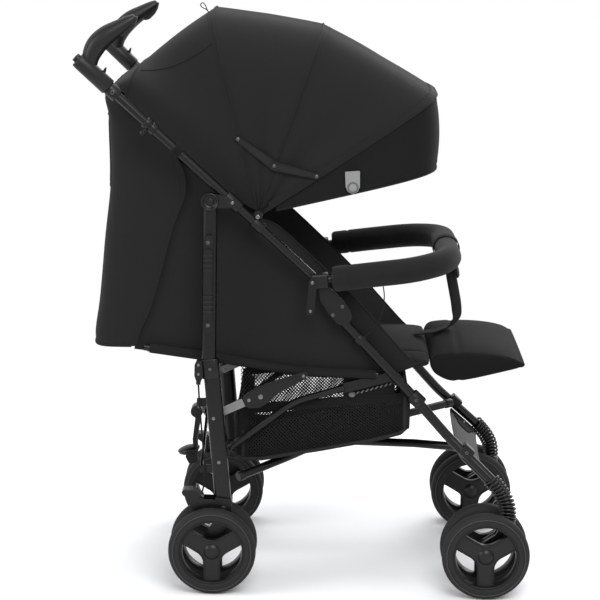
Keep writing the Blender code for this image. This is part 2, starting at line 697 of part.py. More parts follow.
def towards_pivot(point, thickness):
    """Moves a canopy point inwards, towards the line between the two canopy pivots."""
    pivot = Vector((CANOPY_PIVOT[0], 0, CANOPY_PIVOT[1]))
    flat = Vector((point.x - pivot.x, 0, point.z - pivot.z))
    share = 1 - thickness / max(flat.length, 0.03)
    y = point.y * (1 - thickness / CLOTH_HALF)
    return Vector((pivot.x + flat.x * share, y, pivot.z + flat.z * share))


def build_bow(name, origin):
    """A flat strip bent to the arch, each end flat on its own layer of the pivot pin."""
    foot_y = BOW_FOOT[name]
    angle = math.radians(BOW_ANGLES[name])
    out = Vector((math.cos(angle), 0, math.sin(angle)))
    pivot = Vector((CANOPY_PIVOT[0], 0, CANOPY_PIVOT[1]))
    reach = BOW_REACH[name] - CLOTH - 0.0038
    wide = foot_y + 0.0040
    points = [pivot + Vector((0, -foot_y, 0)), pivot + out * 0.060 + Vector((0, -foot_y, 0))]
    power = 2.0 / ARCH_SQUARENESS
    for i in range(1, ARCH_STEPS):
        t = math.pi * i / ARCH_STEPS
        rise = math.sin(t) ** power
        y = -wide * math.copysign(abs(math.cos(t)) ** power, math.cos(t))
        if 0.075 < rise * reach:
            points.append(pivot + out * (rise * reach) + Vector((0, y, 0)))
    points += [pivot + out * 0.060 + Vector((0, foot_y, 0)), pivot + Vector((0, foot_y, 0))]
    across = Vector((-math.sin(angle), 0, math.cos(angle)))
    strip = sweep(points, box_outline(BOW_WIDTH, BOW_THICKNESS), across)
    x, z = CANOPY_PIVOT
    ends = []
    for side in (-1, 1):
        ends.append(disc((x, z), 0.0080, side * (foot_y - 0.0016), side * (foot_y + 0.0015), 12))
    hole = disc((x, z), 0.0041, -CLOTH_HALF, CLOTH_HALF, 8)
    add(name + "_bow", combined([strip, *ends], [hole]), "plastic", origin)


def panel_between(first, second, crown, stations=3, start=CANOPY_START):
    """Cloth from one bow's arch to the next, with a crown outwards between them."""
    a = arch(CANOPY_PIVOT, bow_top(first), CLOTH_HALF, start)
    b = arch(CANOPY_PIVOT, bow_top(second), CLOTH_HALF, start)
    pivot = Vector((CANOPY_PIVOT[0], 0, CANOPY_PIVOT[1]))
    rows = []
    for i in range(stations + 1):
        share = i / stations
        inset = 0.010 + 0.980 * share
        row = []
        for p, q in zip(a, b):
            point = p.lerp(q, inset)
            flat = Vector((point.x - pivot.x, 0, point.z - pivot.z))
            swell = crown * 4 * share * (1 - share) * (flat.length / 0.36) ** 2
            row.append(point + flat.normalized() * swell)
        rows.append(row)
    return shell(rows, CLOTH, towards_pivot)


def build_canopy():
    pivot = (CANOPY_PIVOT[0], 0, CANOPY_PIVOT[1])
    for name in ("rear", "middle", "front"):
        build_bow(name, pivot)
    add("canopy_middle", panel_between("rear", "middle", 0.004), "cloth", pivot)
    add("canopy_front", panel_between("middle", "front", 0.004), "cloth", pivot)
    add("visor", panel_between("front", "visor", 0.008), "cloth", pivot)
    build_canopy_rear()


def build_canopy_rear():
    """The rear of the canopy: its feet run up the push tubes, and its top falls to the back."""
    near = arch(CANOPY_PIVOT, bow_top("rear"), CLOTH_HALF, CANOPY_START)
    far = arch(*CANOPY_REAR_EDGE, CLOTH_HALF - 0.006)
    rows = []
    for i in range(6):
        share = i / 5
        lift = Vector((-0.0008, 0, 0.006 * math.sin(math.pi * share)))
        rows.append([p.lerp(q, share) + lift for p, q in zip(near, far)])

    def inward(point, thickness):
        return point + Vector((0.3 * thickness, -point.y / CLOTH_HALF * thickness, -0.8 * thickness))

    add("canopy_rear", shell(rows, CLOTH, inward), "cloth", rows[0][len(rows[0]) // 2])


# Canopy stays, two flat arms a side
def build_stays(tag, side):
    a, b, c = (0.0420, 0.8280), (0.1070, 0.7810), (0.1830, 0.7630)
    for name, start, end, layer in (("upper", a, b, 0.0), ("lower", c, b, 0.0036)):
        s, e = Vector(start), Vector(end)
        along = (e - s).normalized()
        across = Vector((-along.y, along.x))
        outline = []
        for centre, direction in ((s, -along), (e, along)):
            for turn in (-70, -25, 25, 70):
                t = math.radians(turn)
                turned = direction * math.cos(t) + Vector((-direction.y, direction.x)) * math.sin(t)
                outline.append(tuple(centre + 0.0056 * turned))
        y0 = side * (CLOTH_HALF + 0.0002 + layer)
        y1 = side * (CLOTH_HALF + 0.0032 + layer)
        add("stay_%s_%s" % (name, tag), plate(outline, y0, y1), "plastic", (start[0], y0, start[1]))


# Cloth of the cabin
def build_side_panel(tag, side):
    outline = [
        (-0.0660, 0.7850), (0.0000, 0.7380), (0.0790, 0.6840), (0.1230, 0.6610), (0.2510, 0.5400),
        (0.3540, 0.4280),
        (0.3760, 0.4170), (0.3210, 0.3980), (0.2390, 0.3915), (0.1560, 0.4035), (0.0290, 0.4160),
        (-0.1480, 0.4375),
        (-0.1400, 0.4630), (-0.1120, 0.5300), (-0.0770, 0.6600), (-0.0530, 0.7310), (-0.0545, 0.7600),
    ]
    y = PANEL_TRACK / 2
    add("side_panel_" + tag, plate(outline, side * (y - CLOTH / 2), side * (y + CLOTH / 2)), "cloth",
        (0.08, side * y, 0.5))


def build_rear_panel():
    """The back cover: a deep U round the back of the cabin, from the handles down to the seat."""
    levels = [
        (0.4440, -0.1420, -0.2235), (0.4700, -0.1370, -0.2260), (0.5300, -0.1120, -0.2190),
        (0.6600, -0.0770, -0.2060),
        (0.7310, -0.0530, -0.2000), (0.7850, -0.0660, -0.1980), (0.8600, -0.1200, -0.2000),
        (0.9060, -0.1700, -0.2030),
    ]
    half = PANEL_TRACK / 2 + CLOTH / 2 + 0.0004 + CLOTH
    rows = []
    for z, front, back in levels:
        power = 2.0 / 6.0
        row = []
        for i in range(ARCH_STEPS + 1):
            t = math.pi * i / ARCH_STEPS
            depth = abs(math.sin(t)) ** power
            y = -half * math.copysign(abs(math.cos(t)) ** power, math.cos(t))
            row.append(Vector((between(front, back, depth), y, z)))
        rows.append(row)
    lid = Vector((-0.0008 - CLOTH - 0.0007, 0, -0.0020))
    rows.append([point + lid for point in arch(*CANOPY_REAR_EDGE, CLOTH_HALF - 0.006)])

    def inward(point, thickness):
        return point + Vector((thickness, -point.y / half * thickness, 0))

    add("rear_panel", shell(rows, CLOTH, inward), "cloth", (0.200, 0, 0.404))


def cushion(stations, width, crown, fall=0.30, across_steps=8):
    """A pad: (x, low z, high z) stations along it, a crown across it and a fall to both sides."""
    bm = bmesh.new()
    rings = []
    fullest = max(high - low for x, low, high in stations)
    for x, low, high in stations:
        thick = high - low
        rise = crown * thick / fullest
        ring = []
        for i in range(across_steps + 1):
            s = -1 + 2 * i / across_steps
            ring.append(bm.verts.new((x, s * width / 2, high - fall * thick * s ** 4 + rise * (1 - s * s))))
        for i in range(across_steps + 1):
            s = 1 - 2 * i / across_steps
            ring.append(bm.verts.new((x, s * width / 2, low + fall * thick * s ** 4)))
        rings.append(ring)
    skin(bm, rings)
    return finish_mesh(bm)


def build_seat():
    seat = [
        (0.2120, 0.4030, 0.4140), (0.2220, 0.3990, 0.4225), (0.2600, 0.3960, 0.4300),
        (0.3200, 0.3970, 0.4320),
        (0.3700, 0.4020, 0.4310), (0.3882, 0.4060, 0.4280), (FOOTREST_HINGE[0] - GAP, 0.4120, 0.4220),
    ]
    add("seat_pad", cushion(seat, SEAT_WIDTH, 0.006), "cloth", (0.300, 0, 0.415))
    back = []
    for share, thick in BACK_STATIONS:
        x = between(BACK_HINGE[0], BACK_END, share)
        middle = between(0.4140, 0.4720, share)
        back.append((x, middle - thick / 2, middle + thick / 2))
    add("backrest", cushion(back, SEAT_WIDTH, 0.006), "cloth", (BACK_HINGE[0], 0, BACK_HINGE[1]))
    rest = [
        (FOOTREST_HINGE[0], 0.4100, 0.4190), (0.4040, 0.3920, 0.4350), (0.4300, 0.3775, 0.4415),
        (0.4600, 0.3785, 0.4425),
        (0.5050, 0.3905, 0.4395), (0.5430, 0.4020, 0.4315), (0.5630, 0.4085, 0.4215),
        (0.5700, 0.4130, 0.4165),
    ]
    add("footrest", cushion(rest, SEAT_WIDTH - 0.004, 0.003, 0.12), "cloth",
        (FOOTREST_HINGE[0], 0, FOOTREST_HINGE[1]))


# Bumper bar, its strap and its cord
BUMPER_BACK = (0.2150, 0.5785)
BUMPER_FRONT = (0.4270, 0.6050)
BUMPER_BEND = 0.110


def bumper_path():
    y = BUMPER_TRACK / 2
    corners = [(BUMPER_BACK, -y), (BUMPER_FRONT, -y), (BUMPER_FRONT, y), (BUMPER_BACK, y)]
    return turned_path([(x, side_y, z) for (x, z), side_y in corners], [BUMPER_BEND, BUMPER_BEND], 5)


def build_bumper():
    foam = sweep(bumper_path(), round_outline(FOAM_RADIUS, 12), (0, 0, 1))
    y = BUMPER_TRACK / 2
    plugs = [rod((0.1945, s * y, 0.5767), (0.2250, s * y, 0.5795), 0.0065, 10) for s in (-1, 1)]
    add("bumper_bar", combined([foam, *plugs]), "foam", (BUMPER_BACK[0], 0, BUMPER_BACK[1]))
    strap = [
        (0.4330, 0, 0.5800), (0.4395, 0, 0.5450), (0.4480, 0, 0.5030), (0.4520, 0, 0.4720),
        (0.4380, 0, 0.4545), (0.4120, 0, 0.4450), (0.3720, 0, 0.4396),
    ]
    path = turned_path(strap, [0.1, 0.1, 0.02, 0.02, 0.02], 2)
    add("crotch_strap", sweep(path, box_outline(0.0340, 0.0040), (0.30, 1, 0)), "cloth", strap[0])
    share = (0.3050 - BUMPER_BACK[0]) / (BUMPER_FRONT[0] - BUMPER_BACK[0])
    cord_top = between(BUMPER_BACK[1], BUMPER_FRONT[1], share) - FOAM_RADIUS + 0.0001
    cord = [
        (0.3050, -y, cord_top), (0.3070, -y + 0.0010, 0.5520), (0.3070, -y + 0.0020, 0.5390),
        (0.3055, -y + 0.0035, 0.5240),
        (0.3010, -y + 0.0045, 0.5100), (0.2940, -y + 0.0055, 0.4950), (0.2850, -y + 0.0065, 0.4830),
        (0.2740, -y + 0.0070, 0.4730),
    ]
    curve = bpy.data.curves.new("cord", "CURVE")
    curve.dimensions = "3D"
    curve.bevel_depth = 0.0011
    curve.bevel_resolution = 1
    curve.use_fill_caps = True
    line = curve.splines.new("POLY")
    line.points.add(len(cord) - 1)
    for target, point in zip(line.points, cord):
        target.co = (*point, 1)
    curve.materials.append(MATERIALS["plastic"])
    made = bpy.data.objects.new("elastic_cord", curve)
    bpy.context.scene.collection.objects.link(made)


# Shopping basket: an open tub of net that sags to the rear
def build_basket():
    half_top = RAIL_INNER - GAP
    sections = [
        (0.0400, 0.3300, 0.2650, 0.0180), (0.0560, 0.3340, 0.2400, 0.0), (0.0880, 0.3380, 0.2300, 0.0),
        (0.1950, 0.3480, 0.2600, 0.0),
        (0.2800, 0.3560, 0.2750, 0.0), (0.3410, 0.3600, 0.2880, 0.0), (0.3560, 0.3610, 0.3040, 0.0),
    ]
    bm = bmesh.new()
    outer_rings, inner_rings = [], []
    for x, top, bottom, inset in sections:
        half = half_top - inset
        corner = 0.028
        outline = [(-half, top), (-half, bottom + corner), (-half + 0.3 * corner, bottom + 0.3 * corner),
            (-half + corner, bottom)]
        outline += [(-half / 3, bottom - 0.004), (half / 3, bottom - 0.004)]
        outline += [(half - corner, bottom), (half - 0.3 * corner, bottom + 0.3 * corner),
            (half, bottom + corner), (half, top)]
        outer_rings.append([(x, y, z) for y, z in outline])
        wall = CLOTH
        inner = []
        for y, z in outline:
            shift = wall if abs(y) > half / 2 else 0.0
            inner.append((x, y - math.copysign(shift, y), z if z == top else z + wall))
        inner_rings.append(inner)
    first, last = sections[0][0], sections[-1][0]
    outer = [[bm.verts.new(p) for p in ring] for ring in outer_rings]
    wall = CLOTH
    inner = []
    for ring, (x, *_rest) in zip(inner_rings, sections):
        shift = wall if x == first else -wall if x == last else 0.0
        inner.append([bm.verts.new((p[0] + shift, p[1], p[2])) for p in ring])
    count = len(outer[0])
    for i in range(len(outer) - 1):
        for j in range(count - 1):
            bm.faces.new((outer[i][j], outer[i][j + 1], outer[i + 1][j + 1], outer[i + 1][j]))
            bm.faces.new((inner[i][j], inner[i + 1][j], inner[i + 1][j + 1], inner[i][j + 1]))
        for j in (0, count - 1):
            bm.faces.new((outer[i][j], outer[i + 1][j], inner[i + 1][j], inner[i][j]))
    for ring_out, ring_in in ((outer[0], inner[0]), (outer[-1], inner[-1])):
        bm.faces.new(ring_out)
        bm.faces.new(ring_in)
        bm.faces.new((ring_out[0], ring_out[-1], ring_in[-1], ring_in[0]))
    add("basket", finish_mesh(bm), "mesh", (last, 0, 0.32))


# Foot strap between the front legs, held under the clamps of the lower cross bars
def leg_at(x):
    """The point of the leg's line at this x, on the left side."""
    for a, b in zip(LEG_LINE, LEG_LINE[1:]):
        if x <= b[0]:
            return Vector(a).lerp(Vector(b), (x - a[0]) / (b[0] - a[0]))
    return Vector(LEG_LINE[-1])


def build_foot_strap():
    under = Vector((-0.686, 0, -0.728)) * (CLAMP_HIGH / 2 + GAP)
    rows = []
    for s in (-1, -0.72, -0.3, 0, 0.3, 0.72, 1):
        narrow = 1 - 0.15 * (1 - abs(s))
        sag = 0.010 * (1 - s * s)
        row = []
        for share in (0.0, 0.5, 1.0):
            x = between(CLAMP_X - 0.0020, CLAMP_X + 0.0370, 0.5 + (share - 0.5) * narrow)
            spot = leg_at(x) + under
            row.append(Vector((spot.x - sag * 0.3, s * (spot.y - 0.004), spot.z - sag)))
        rows.append(row)

    def inward(point, thickness):
        return point - Vector((0.686, 0, 0.728)) * thickness

    add("foot_strap", shell(rows, 0.0030, inward), "strap", rows[0][0])


# Pedals and the carry handle
def build_pedals():
    for tag, side in SIDES:
        y = side * REAR_TRACK / 2
        outline = [
            (-0.0165, 0.1580), (-0.0165, 0.1740), (-0.0230, 0.1800), (-0.0380, 0.1880), (-0.0540, 0.1880),
            (-0.0570, 0.1830),
            (-0.0540, 0.1780), (-0.0440, 0.1700), (-0.0380, 0.1520), (-0.0270, 0.1480),
        ]
        half = WHEEL_INNER_FACE - 0.0035
        arms = []
        for sign in (-1, 1):
            arm = [(-0.0180, 0.1570), (-0.0180, 0.1720), (0.0060, 0.1710), (0.0130, 0.1640),
                (0.0060, 0.1570)]
            a, b = y + sign * (WHEEL_INNER_FACE - 0.0017), y + sign * (WHEEL_INNER_FACE - 0.0005)
            arms.append(plate(arm, a, b))
            bridge = [(-0.0240, 0.1570), (-0.0240, 0.1740), (-0.0170, 0.1740), (-0.0170, 0.1570)]
            arms.append(plate(bridge, y + sign * (half - 0.002), b))
        add("brake_pedal_" + tag, combined([plate(outline, y - half, y + half), *arms]), "plastic",
            (BRAKE_PIVOT[0], y, BRAKE_PIVOT[1]))
    cap = [
        (0.0, 0.0), (0.0150, 0.0), (0.0205, 0.0040), (0.0215, 0.0080), (0.0170, 0.0120), (0.0, 0.0150),
    ]
    stalk = [(-0.0380, 0.2920), (-0.0340, 0.2720), (-0.0410, 0.2300), (-0.0400, 0.1850),
        (-0.0560, 0.1800), (-0.0640, 0.1950), (-0.0600, 0.2030), (-0.0480, 0.2060), (-0.0500, 0.2300),
        (-0.0450, 0.2700), (-0.0470, 0.2920)]
    pieces = [
        plate(stalk, -0.0130, 0.0130),
        lathe(cap, (-0.0560, 0, 0.2000), (-0.25, 0, 1), 10),
        disc(FOLD_PEDAL_PIVOT, 0.0116, -0.0160, 0.0160, 12),
    ]
    add("fold_pedal", combined(pieces), "plastic", (FOLD_PEDAL_PIVOT[0], 0, FOLD_PEDAL_PIVOT[1]))


def build_carry_handle():
    y0 = -(LEG_OUTER + GAP)
    outline = [(-0.0180, 0.4880), (-0.0170, 0.6530), (-0.0140, 0.6590), (-0.0020, 0.6590),
        (0.0010, 0.6530), (-0.0005, 0.4880), (-0.0040, 0.4820), (-0.0150, 0.4820)]
    body = plate(outline, y0 - 0.0080, y0)
    rise = plate([(-0.0165, 0.5060), (-0.0160, 0.6350), (-0.0015, 0.6350), (-0.0020, 0.5060)],
        y0 - 0.0120, y0 - 0.004)
    ribs = []
    for start in (0.5200, 0.5950):
        for i in range(4):
            z = start + i * 0.0090
            ribs.append(plate([(-0.0175, z), (-0.0175, z + 0.0038), (0.0000, z + 0.0038), (0.0000, z)],
                y0 - 0.0135, y0 - 0.004))
    add("carry_handle", combined([body, rise, *ribs]), "plastic", (-0.0085, y0, 0.57))


for tag, side in SIDES:
    top, along = build_push_tube(tag, side)
    build_hub(tag, side)
    build_front_leg(tag, side)
    build_spring(tag, side)
    build_side_frame(tag, side)
    build_rear_leg(tag, side)
    build_fork(tag, side)
    build_link(tag, side)
    build_handle(tag, side, top, along)
    build_stays(tag, side)
    build_side_panel(tag, side)
build_lower_cross("a", -1, 0.0086)
build_lower_cross("b", 1, -0.0086)
build_rear_cross("a", 1, 0.0)
build_rear_cross("b", -1, 0.0056)
build_wheels()
build_canopy()
build_rear_panel()
build_seat()
build_bumper()
build_basket()
build_foot_strap()
build_pedals()
build_carry_handle()

# The whole is moved so that the origin lies on the floor under the middle of its bounding box
bpy.context.view_layer.update()
corners = []
for made in bpy.data.objects:
    evaluated = made.evaluated_get(bpy.context.evaluated_depsgraph_get())
    mesh = evaluated.to_mesh()
    corners += [(evaluated.matrix_world @ v.co).x for v in mesh.vertices]
    evaluated.to_mesh_clear()
middle = (min(corners) + max(corners)) / 2
for made in bpy.data.objects:
    made.location.x -= middle
print("moved by %.6f, and %d objects" % (-middle, len(bpy.data.objects)))
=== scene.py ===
"""Looks of the umbrella-fold pushchair: black cloth, black tubes, grey links, on a pale floor.

Points are written from the rear axle in metres: +X forward, +Y the child's left, +Z up.
"""
import math

import bmesh
import bpy
from mathutils import Matrix, Vector
from mathutils.geometry import tessellate_polygon
from mathutils.noise import noise, seed_set


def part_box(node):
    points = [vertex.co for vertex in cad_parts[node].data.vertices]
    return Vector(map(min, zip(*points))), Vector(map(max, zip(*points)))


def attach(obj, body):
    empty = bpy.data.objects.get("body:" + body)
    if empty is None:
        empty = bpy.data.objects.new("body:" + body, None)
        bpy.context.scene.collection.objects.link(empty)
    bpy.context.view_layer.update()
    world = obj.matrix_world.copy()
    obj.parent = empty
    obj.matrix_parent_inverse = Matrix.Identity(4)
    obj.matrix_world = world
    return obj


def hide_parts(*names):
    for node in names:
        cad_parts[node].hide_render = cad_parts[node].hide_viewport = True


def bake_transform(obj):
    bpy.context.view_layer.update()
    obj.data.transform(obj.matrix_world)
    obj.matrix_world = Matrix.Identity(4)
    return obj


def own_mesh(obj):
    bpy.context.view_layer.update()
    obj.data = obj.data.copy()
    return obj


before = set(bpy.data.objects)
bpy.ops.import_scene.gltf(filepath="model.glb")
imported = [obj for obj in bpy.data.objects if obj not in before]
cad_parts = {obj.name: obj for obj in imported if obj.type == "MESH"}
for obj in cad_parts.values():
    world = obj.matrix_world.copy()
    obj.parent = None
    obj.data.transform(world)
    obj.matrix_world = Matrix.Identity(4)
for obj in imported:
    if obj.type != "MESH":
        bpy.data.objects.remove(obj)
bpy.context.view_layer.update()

seed_set(7)
LOW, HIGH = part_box("wheel_rear_outer_r")
AXLE_X = (LOW.x + HIGH.x) / 2
SIDES = (("r", -1), ("l", 1))


# Shader maths
class Value:
    """A number or a colour that a node gives, with the usual signs for sums on numbers."""

    def __init__(self, shade, socket):
        self.shade = shade
        self.socket = socket

    def sum_with(self, operation, a, b=0.0):
        return self.shade.node("ShaderNodeMath", {"operation": operation}, {0: a, 1: b})

    def __add__(self, other):
        return self.sum_with("ADD", self, other)

    def __radd__(self, other):
        return self.sum_with("ADD", other, self)

    def __sub__(self, other):
        return self.sum_with("SUBTRACT", self, other)

    def __rsub__(self, other):
        return self.sum_with("SUBTRACT", other, self)

    def __mul__(self, other):
        return self.sum_with("MULTIPLY", self, other)

    def __rmul__(self, other):
        return self.sum_with("MULTIPLY", other, self)

    def above(self, limit):
        return self.sum_with("GREATER_THAN", self, limit)

    def largest(self, other):
        return self.sum_with("MAXIMUM", self, other)


class Shade:
    """The node tree of one finish."""

    def __init__(self, name):
        self.material = bpy.data.materials.new(name)
        self.material.use_nodes = True
        self.tree = self.material.node_tree
        self.surface = self.tree.nodes["Principled BSDF"]
        self.coordinate = None

    def node(self, kind, settings=None, values=None, output=0):
        made = self.tree.nodes.new(kind)
        for key, value in (settings or {}).items():
            if key == "stops":
                ramp = made.color_ramp
                for i, (place, grey) in enumerate(value):
                    stop = ramp.elements[i] if i < 2 else ramp.elements.new(place)
                    stop.position = place
                    stop.color = (grey, grey, grey, 1)
            else:
                setattr(made, key, value)
        for key, value in (values or {}).items():
            self.link(value, made.inputs[key])
        return Value(self, made.outputs[output])

    def link(self, value, socket):
        if isinstance(value, Value):
            self.tree.links.new(value.socket, socket)
        else:
            socket.default_value = value

    def place(self, scale=(1, 1, 1), turn=(0, 0, 0), uv=None):
        """A point on the piece, or a point of its cloth's own map."""
        if uv:
            start = self.node("ShaderNodeUVMap", {"uv_map": uv})
        else:
            start = self.node("ShaderNodeTexCoord", output="Object")
        return self.node("ShaderNodeMapping", None, {"Vector": start, "Scale": scale, "Rotation": turn})

    def set(self, **values):
        for key, value in values.items():
            self.link(value, self.surface.inputs[key.replace("_", " ")])

    def mix(self, share, first, second):
        made = self.tree.nodes.new("ShaderNodeMix")
        made.data_type = "RGBA"
        self.link(share, made.inputs["Factor"])
        colours = [s for s in made.inputs if s.type == "RGBA"]
        self.link(first, colours[0])
        self.link(second, colours[1])
        return Value(self, [s for s in made.outputs if s.type == "RGBA"][0])

    def bump(self, height, strength, distance, normal=None):
        values = {"Height": height, "Strength": strength, "Distance": distance}
        if normal:
            values["Normal"] = normal
        return self.node("ShaderNodeBump", None, values)

    def noise(self, scale, detail=3.0, rough=0.5, at=None):
        values = {"Vector": at or self.place(), "Scale": scale, "Detail": detail, "Roughness": rough}
        return self.node("ShaderNodeTexNoise", None, values)

    def wave(self, at, direction, scale, distortion=0.0):
        settings = {"wave_type": "BANDS", "bands_direction": direction, "wave_profile": "SIN"}
        values = {"Vector": at, "Scale": scale, "Distortion": distortion, "Detail": 1.0,
                  "Detail Scale": 1.0}
        return self.node("ShaderNodeTexWave", settings, values, "Fac")


def grey(level, warm=0.0):
    return (level * (1 + warm), level, level * (1 - warm), 1)


def woven(name, level, thread=0.0011, sheen=0.30, uv=None, rough=0.82, broad=0.35):
    """Plain woven cloth: two sets of threads, with uneven tone and a soft sheen."""
    s = Shade(name)
    at = s.place(uv=uv)
    scale = 1 / thread / 2
    warp = s.wave(at, "X", scale, 0.6)
    weft = s.wave(at, "Y" if uv else "Z", scale, 0.6)
    threads = warp.largest(weft)
    patches = s.noise(9.0, 3.0, 0.55)
    fuzz = s.noise(900.0, 2.0)
    tone = patches * broad + (1 - broad / 2)
    colour = s.mix(threads * 0.5 + tone * 0.45, grey(level * 0.62), grey(level * 1.30))
    s.set(Base_Color=colour, Roughness=patches * 0.12 + rough - 0.05, Sheen_Weight=sheen,
          Sheen_Roughness=0.45, Specular_IOR_Level=0.07)
    soft = s.bump(s.noise(38.0, 3.0), 0.25, 0.0010)
    s.set(Normal=s.bump(threads + fuzz * 0.5, 0.45, 0.0003, soft))
    return s.material


def moulded(name, level, rough=0.42, grain=0.00012, fine=1500.0):
    """Moulded plastic with a fine spark-eroded grain and lighter rubbed patches."""
    s = Shade(name)
    grains = s.noise(fine, 2.0)
    rubbed = s.noise(26.0, 4.0, 0.6)
    colour = s.mix(rubbed, grey(level * 0.85), grey(level * 1.2))
    s.set(Base_Color=colour, Roughness=rubbed * 0.18 + (rough - 0.09), Specular_IOR_Level=0.26)
    s.set(Normal=s.bump(grains, 0.5, grain))
    return s.material


def enamelled(name, level, rough=0.30):
    """Satin powder coat on the tubes: orange peel, with dust in the broad tone."""
    s = Shade(name)
    peel = s.noise(420.0, 2.0)
    dust = s.noise(14.0, 4.0, 0.6)
    colour = s.mix(dust, grey(level * 0.9), grey(level * 1.15))
    s.set(Base_Color=colour, Roughness=dust * 0.14 + (rough - 0.06))
    s.set(Normal=s.bump(peel, 0.30, 0.00018), Specular_IOR_Level=0.28)
    return s.material


def brushed(name, level, rough=0.38, metal=1.0):
    """Plated steel with faint drawn lines along its length."""
    s = Shade(name)
    lines = s.noise(60.0, 3.0, 0.6, s.place((1, 8, 14)))
    spots = s.noise(90.0, 2.0)
    colour = s.mix(lines * 0.6 + spots * 0.4, grey(level * 0.75), grey(level * 1.15))
    s.set(Base_Color=colour, Roughness=lines * 0.2 + (rough - 0.1), Metallic=metal)
    s.set(Normal=s.bump(lines, 0.2, 0.0002))
    return s.material


def foamy(name, level):
    """Foam under a fine knit: closed cells and a soft, uneven surface."""
    s = Shade(name)
    cells = s.node("ShaderNodeTexVoronoi", {"feature": "F1"}, {"Vector": s.place(), "Scale": 650.0})
    soft = s.noise(30.0, 3.0)
    colour = s.mix(soft * 0.6 + cells * 0.5, grey(level * 0.75), grey(level * 1.25))
    s.set(Base_Color=colour, Roughness=soft * 0.08 + 0.86, Sheen_Weight=0.08, Sheen_Roughness=0.5)
    s.set(Normal=s.bump(cells, 0.5, 0.0005, s.bump(soft, 0.4, 0.0016)), Specular_IOR_Level=0.10)
    return s.material


def tyre_foam(name, level):
    """Moulded foam tyre: a matt skin with fine pores and scuffed tone."""
    s = Shade(name)
    pores = s.node("ShaderNodeTexVoronoi", {"feature": "F1"}, {"Vector": s.place(), "Scale": 900.0})
    scuff = s.noise(45.0, 4.0, 0.65)
    colour = s.mix(scuff, grey(level * 0.8), grey(level * 1.35))
    s.set(Base_Color=colour, Roughness=scuff * 0.15 + 0.62, Specular_IOR_Level=0.14)
    s.set(Normal=s.bump(pores, 0.35, 0.0002, s.bump(scuff, 0.2, 0.0004)))
    return s.material


def netting(name, level, cell=0.0044, yarn_share=0.72, uv="cloth"):
    """Knitted net: two slanted sets of yarn, the openings between them cut out by alpha."""
    s = Shade(name)
    at = s.place(turn=(0, 0, math.radians(45)), uv=uv)
    scale = 2 * math.pi / 20 / cell
    yarns = s.wave(at, "X", scale, 0.25).largest(s.wave(at, "Y", scale, 0.25))
    fuzz = s.noise(700.0, 2.0)
    s.set(Base_Color=s.mix(fuzz, grey(level * 0.8), grey(level * 1.3)), Alpha=yarns.above(yarn_share),
          Roughness=fuzz * 0.1 + 0.75, Specular_IOR_Level=0.12)
    s.set(Normal=s.bump(yarns, 0.6, 0.0004))
    return s.material


FINISH = {
    "canopy": woven("canopy_cloth", 0.0125, uv="cloth", sheen=0.04),
    # The visor is the canopy cloth painted darker: painted shade where its front turns away from the light.
    "visor": woven("visor_cloth_painted_shade", 0.0085, uv="cloth", sheen=0.03),
    "seat": woven("seat_cloth", 0.0105, thread=0.0013, sheen=0.04),
    # The footrest is the seat cloth painted darker: painted shade on its up-facing top, which the key lamp
    # lights.
    "rest": woven("footrest_cloth_painted_shade", 0.0060, thread=0.0013, sheen=0.02),
    "side": woven("side_cloth", 0.0125, uv="cloth", sheen=0.04),
    # A darker cloth for the hem under the seat tube: painted shade on the underside.
    "painted_shade_hem": woven("hem_cloth_painted_shade", 0.0038, thread=0.0009, sheen=0.0),
    # The side panels' inner faces: the side cloth painted lighter, painted light for the shaded inside of the
    # cabin.
    "inner": woven("panel_inside_painted_light", 0.0340, thread=0.0009, sheen=0.02),
    "webbing": woven("webbing", 0.0095, thread=0.0016, sheen=0.03),
    "thread": woven("sewing_thread", 0.022, thread=0.0004, sheen=0.0),
    "piping": woven("piping_cloth", 0.0115, thread=0.0008, sheen=0.06),
    "grey_webbing": woven("grey_webbing", 0.110, thread=0.0016, sheen=0.03),
    "tag": woven("grey_tag", 0.205, thread=0.0010, sheen=0.0),
    "ring": woven("tag_ring", 0.10, thread=0.0008, sheen=0.0),
    "foam": foamy("bumper_foam", 0.0115),
    "tube": enamelled("tube_enamel", 0.0022, 0.27),
    "plastic": moulded("black_plastic", 0.0042, 0.34),
    "rim": moulded("rim_plastic", 0.0065, 0.34),
    "grip": moulded("soft_grip", 0.0075, 0.40, 0.0002, 700.0),
    "tyre": tyre_foam("tyre_skin", 0.0165),
    "mould_mark": moulded("tyre_mould_marks", 0.060),
    "spring": enamelled("spring_enamel", 0.0040, 0.30),
    "link": brushed("plated_link", 0.21, 0.42),
    "rivet": brushed("bright_rivet", 0.17, 0.25),
    "dark_screw": brushed("dark_screw", 0.10, 0.35),
    "net": netting("basket_net", 0.0075, yarn_share=0.66),
    "seat_net": netting("seat_net", 0.0100, yarn_share=0.85),
    "binding": woven("basket_binding", 0.0180, thread=0.0012, sheen=0.02),
    "cuff": woven("basket_cloth", 0.0075, thread=0.0012, sheen=0.02),
}


# Mesh building
def at(x, y, z):
    """A point given from the rear axle, in the frame of the whole."""
    return Vector((x + AXLE_X, y, z))


def placed(name, data):
    """An object of this name in the scene."""
    made = bpy.data.objects.new(name, data)
    bpy.context.scene.collection.objects.link(made)
    return made


def mesh_of(bm, name):
    """The shell as a mesh, its faces turned outwards."""
    bmesh.ops.recalc_face_normals(bm, faces=bm.faces)
    mesh = bpy.data.meshes.new(name)
    bm.to_mesh(mesh)
    bm.free()
    return mesh


def final_mesh(made):
    """The mesh that the object's modifiers give."""
    bpy.context.view_layer.update()
    graph = bpy.context.evaluated_depsgraph_get()
    return bpy.data.meshes.new_from_object(made.evaluated_get(graph))


def round_outline(radius, count=24, wide=1.0, high=1.0):
    turns = [2 * math.pi * (i + 0.5) / count for i in range(count)]
    return [(radius * wide * math.cos(t), radius * high * math.sin(t)) for t in turns]


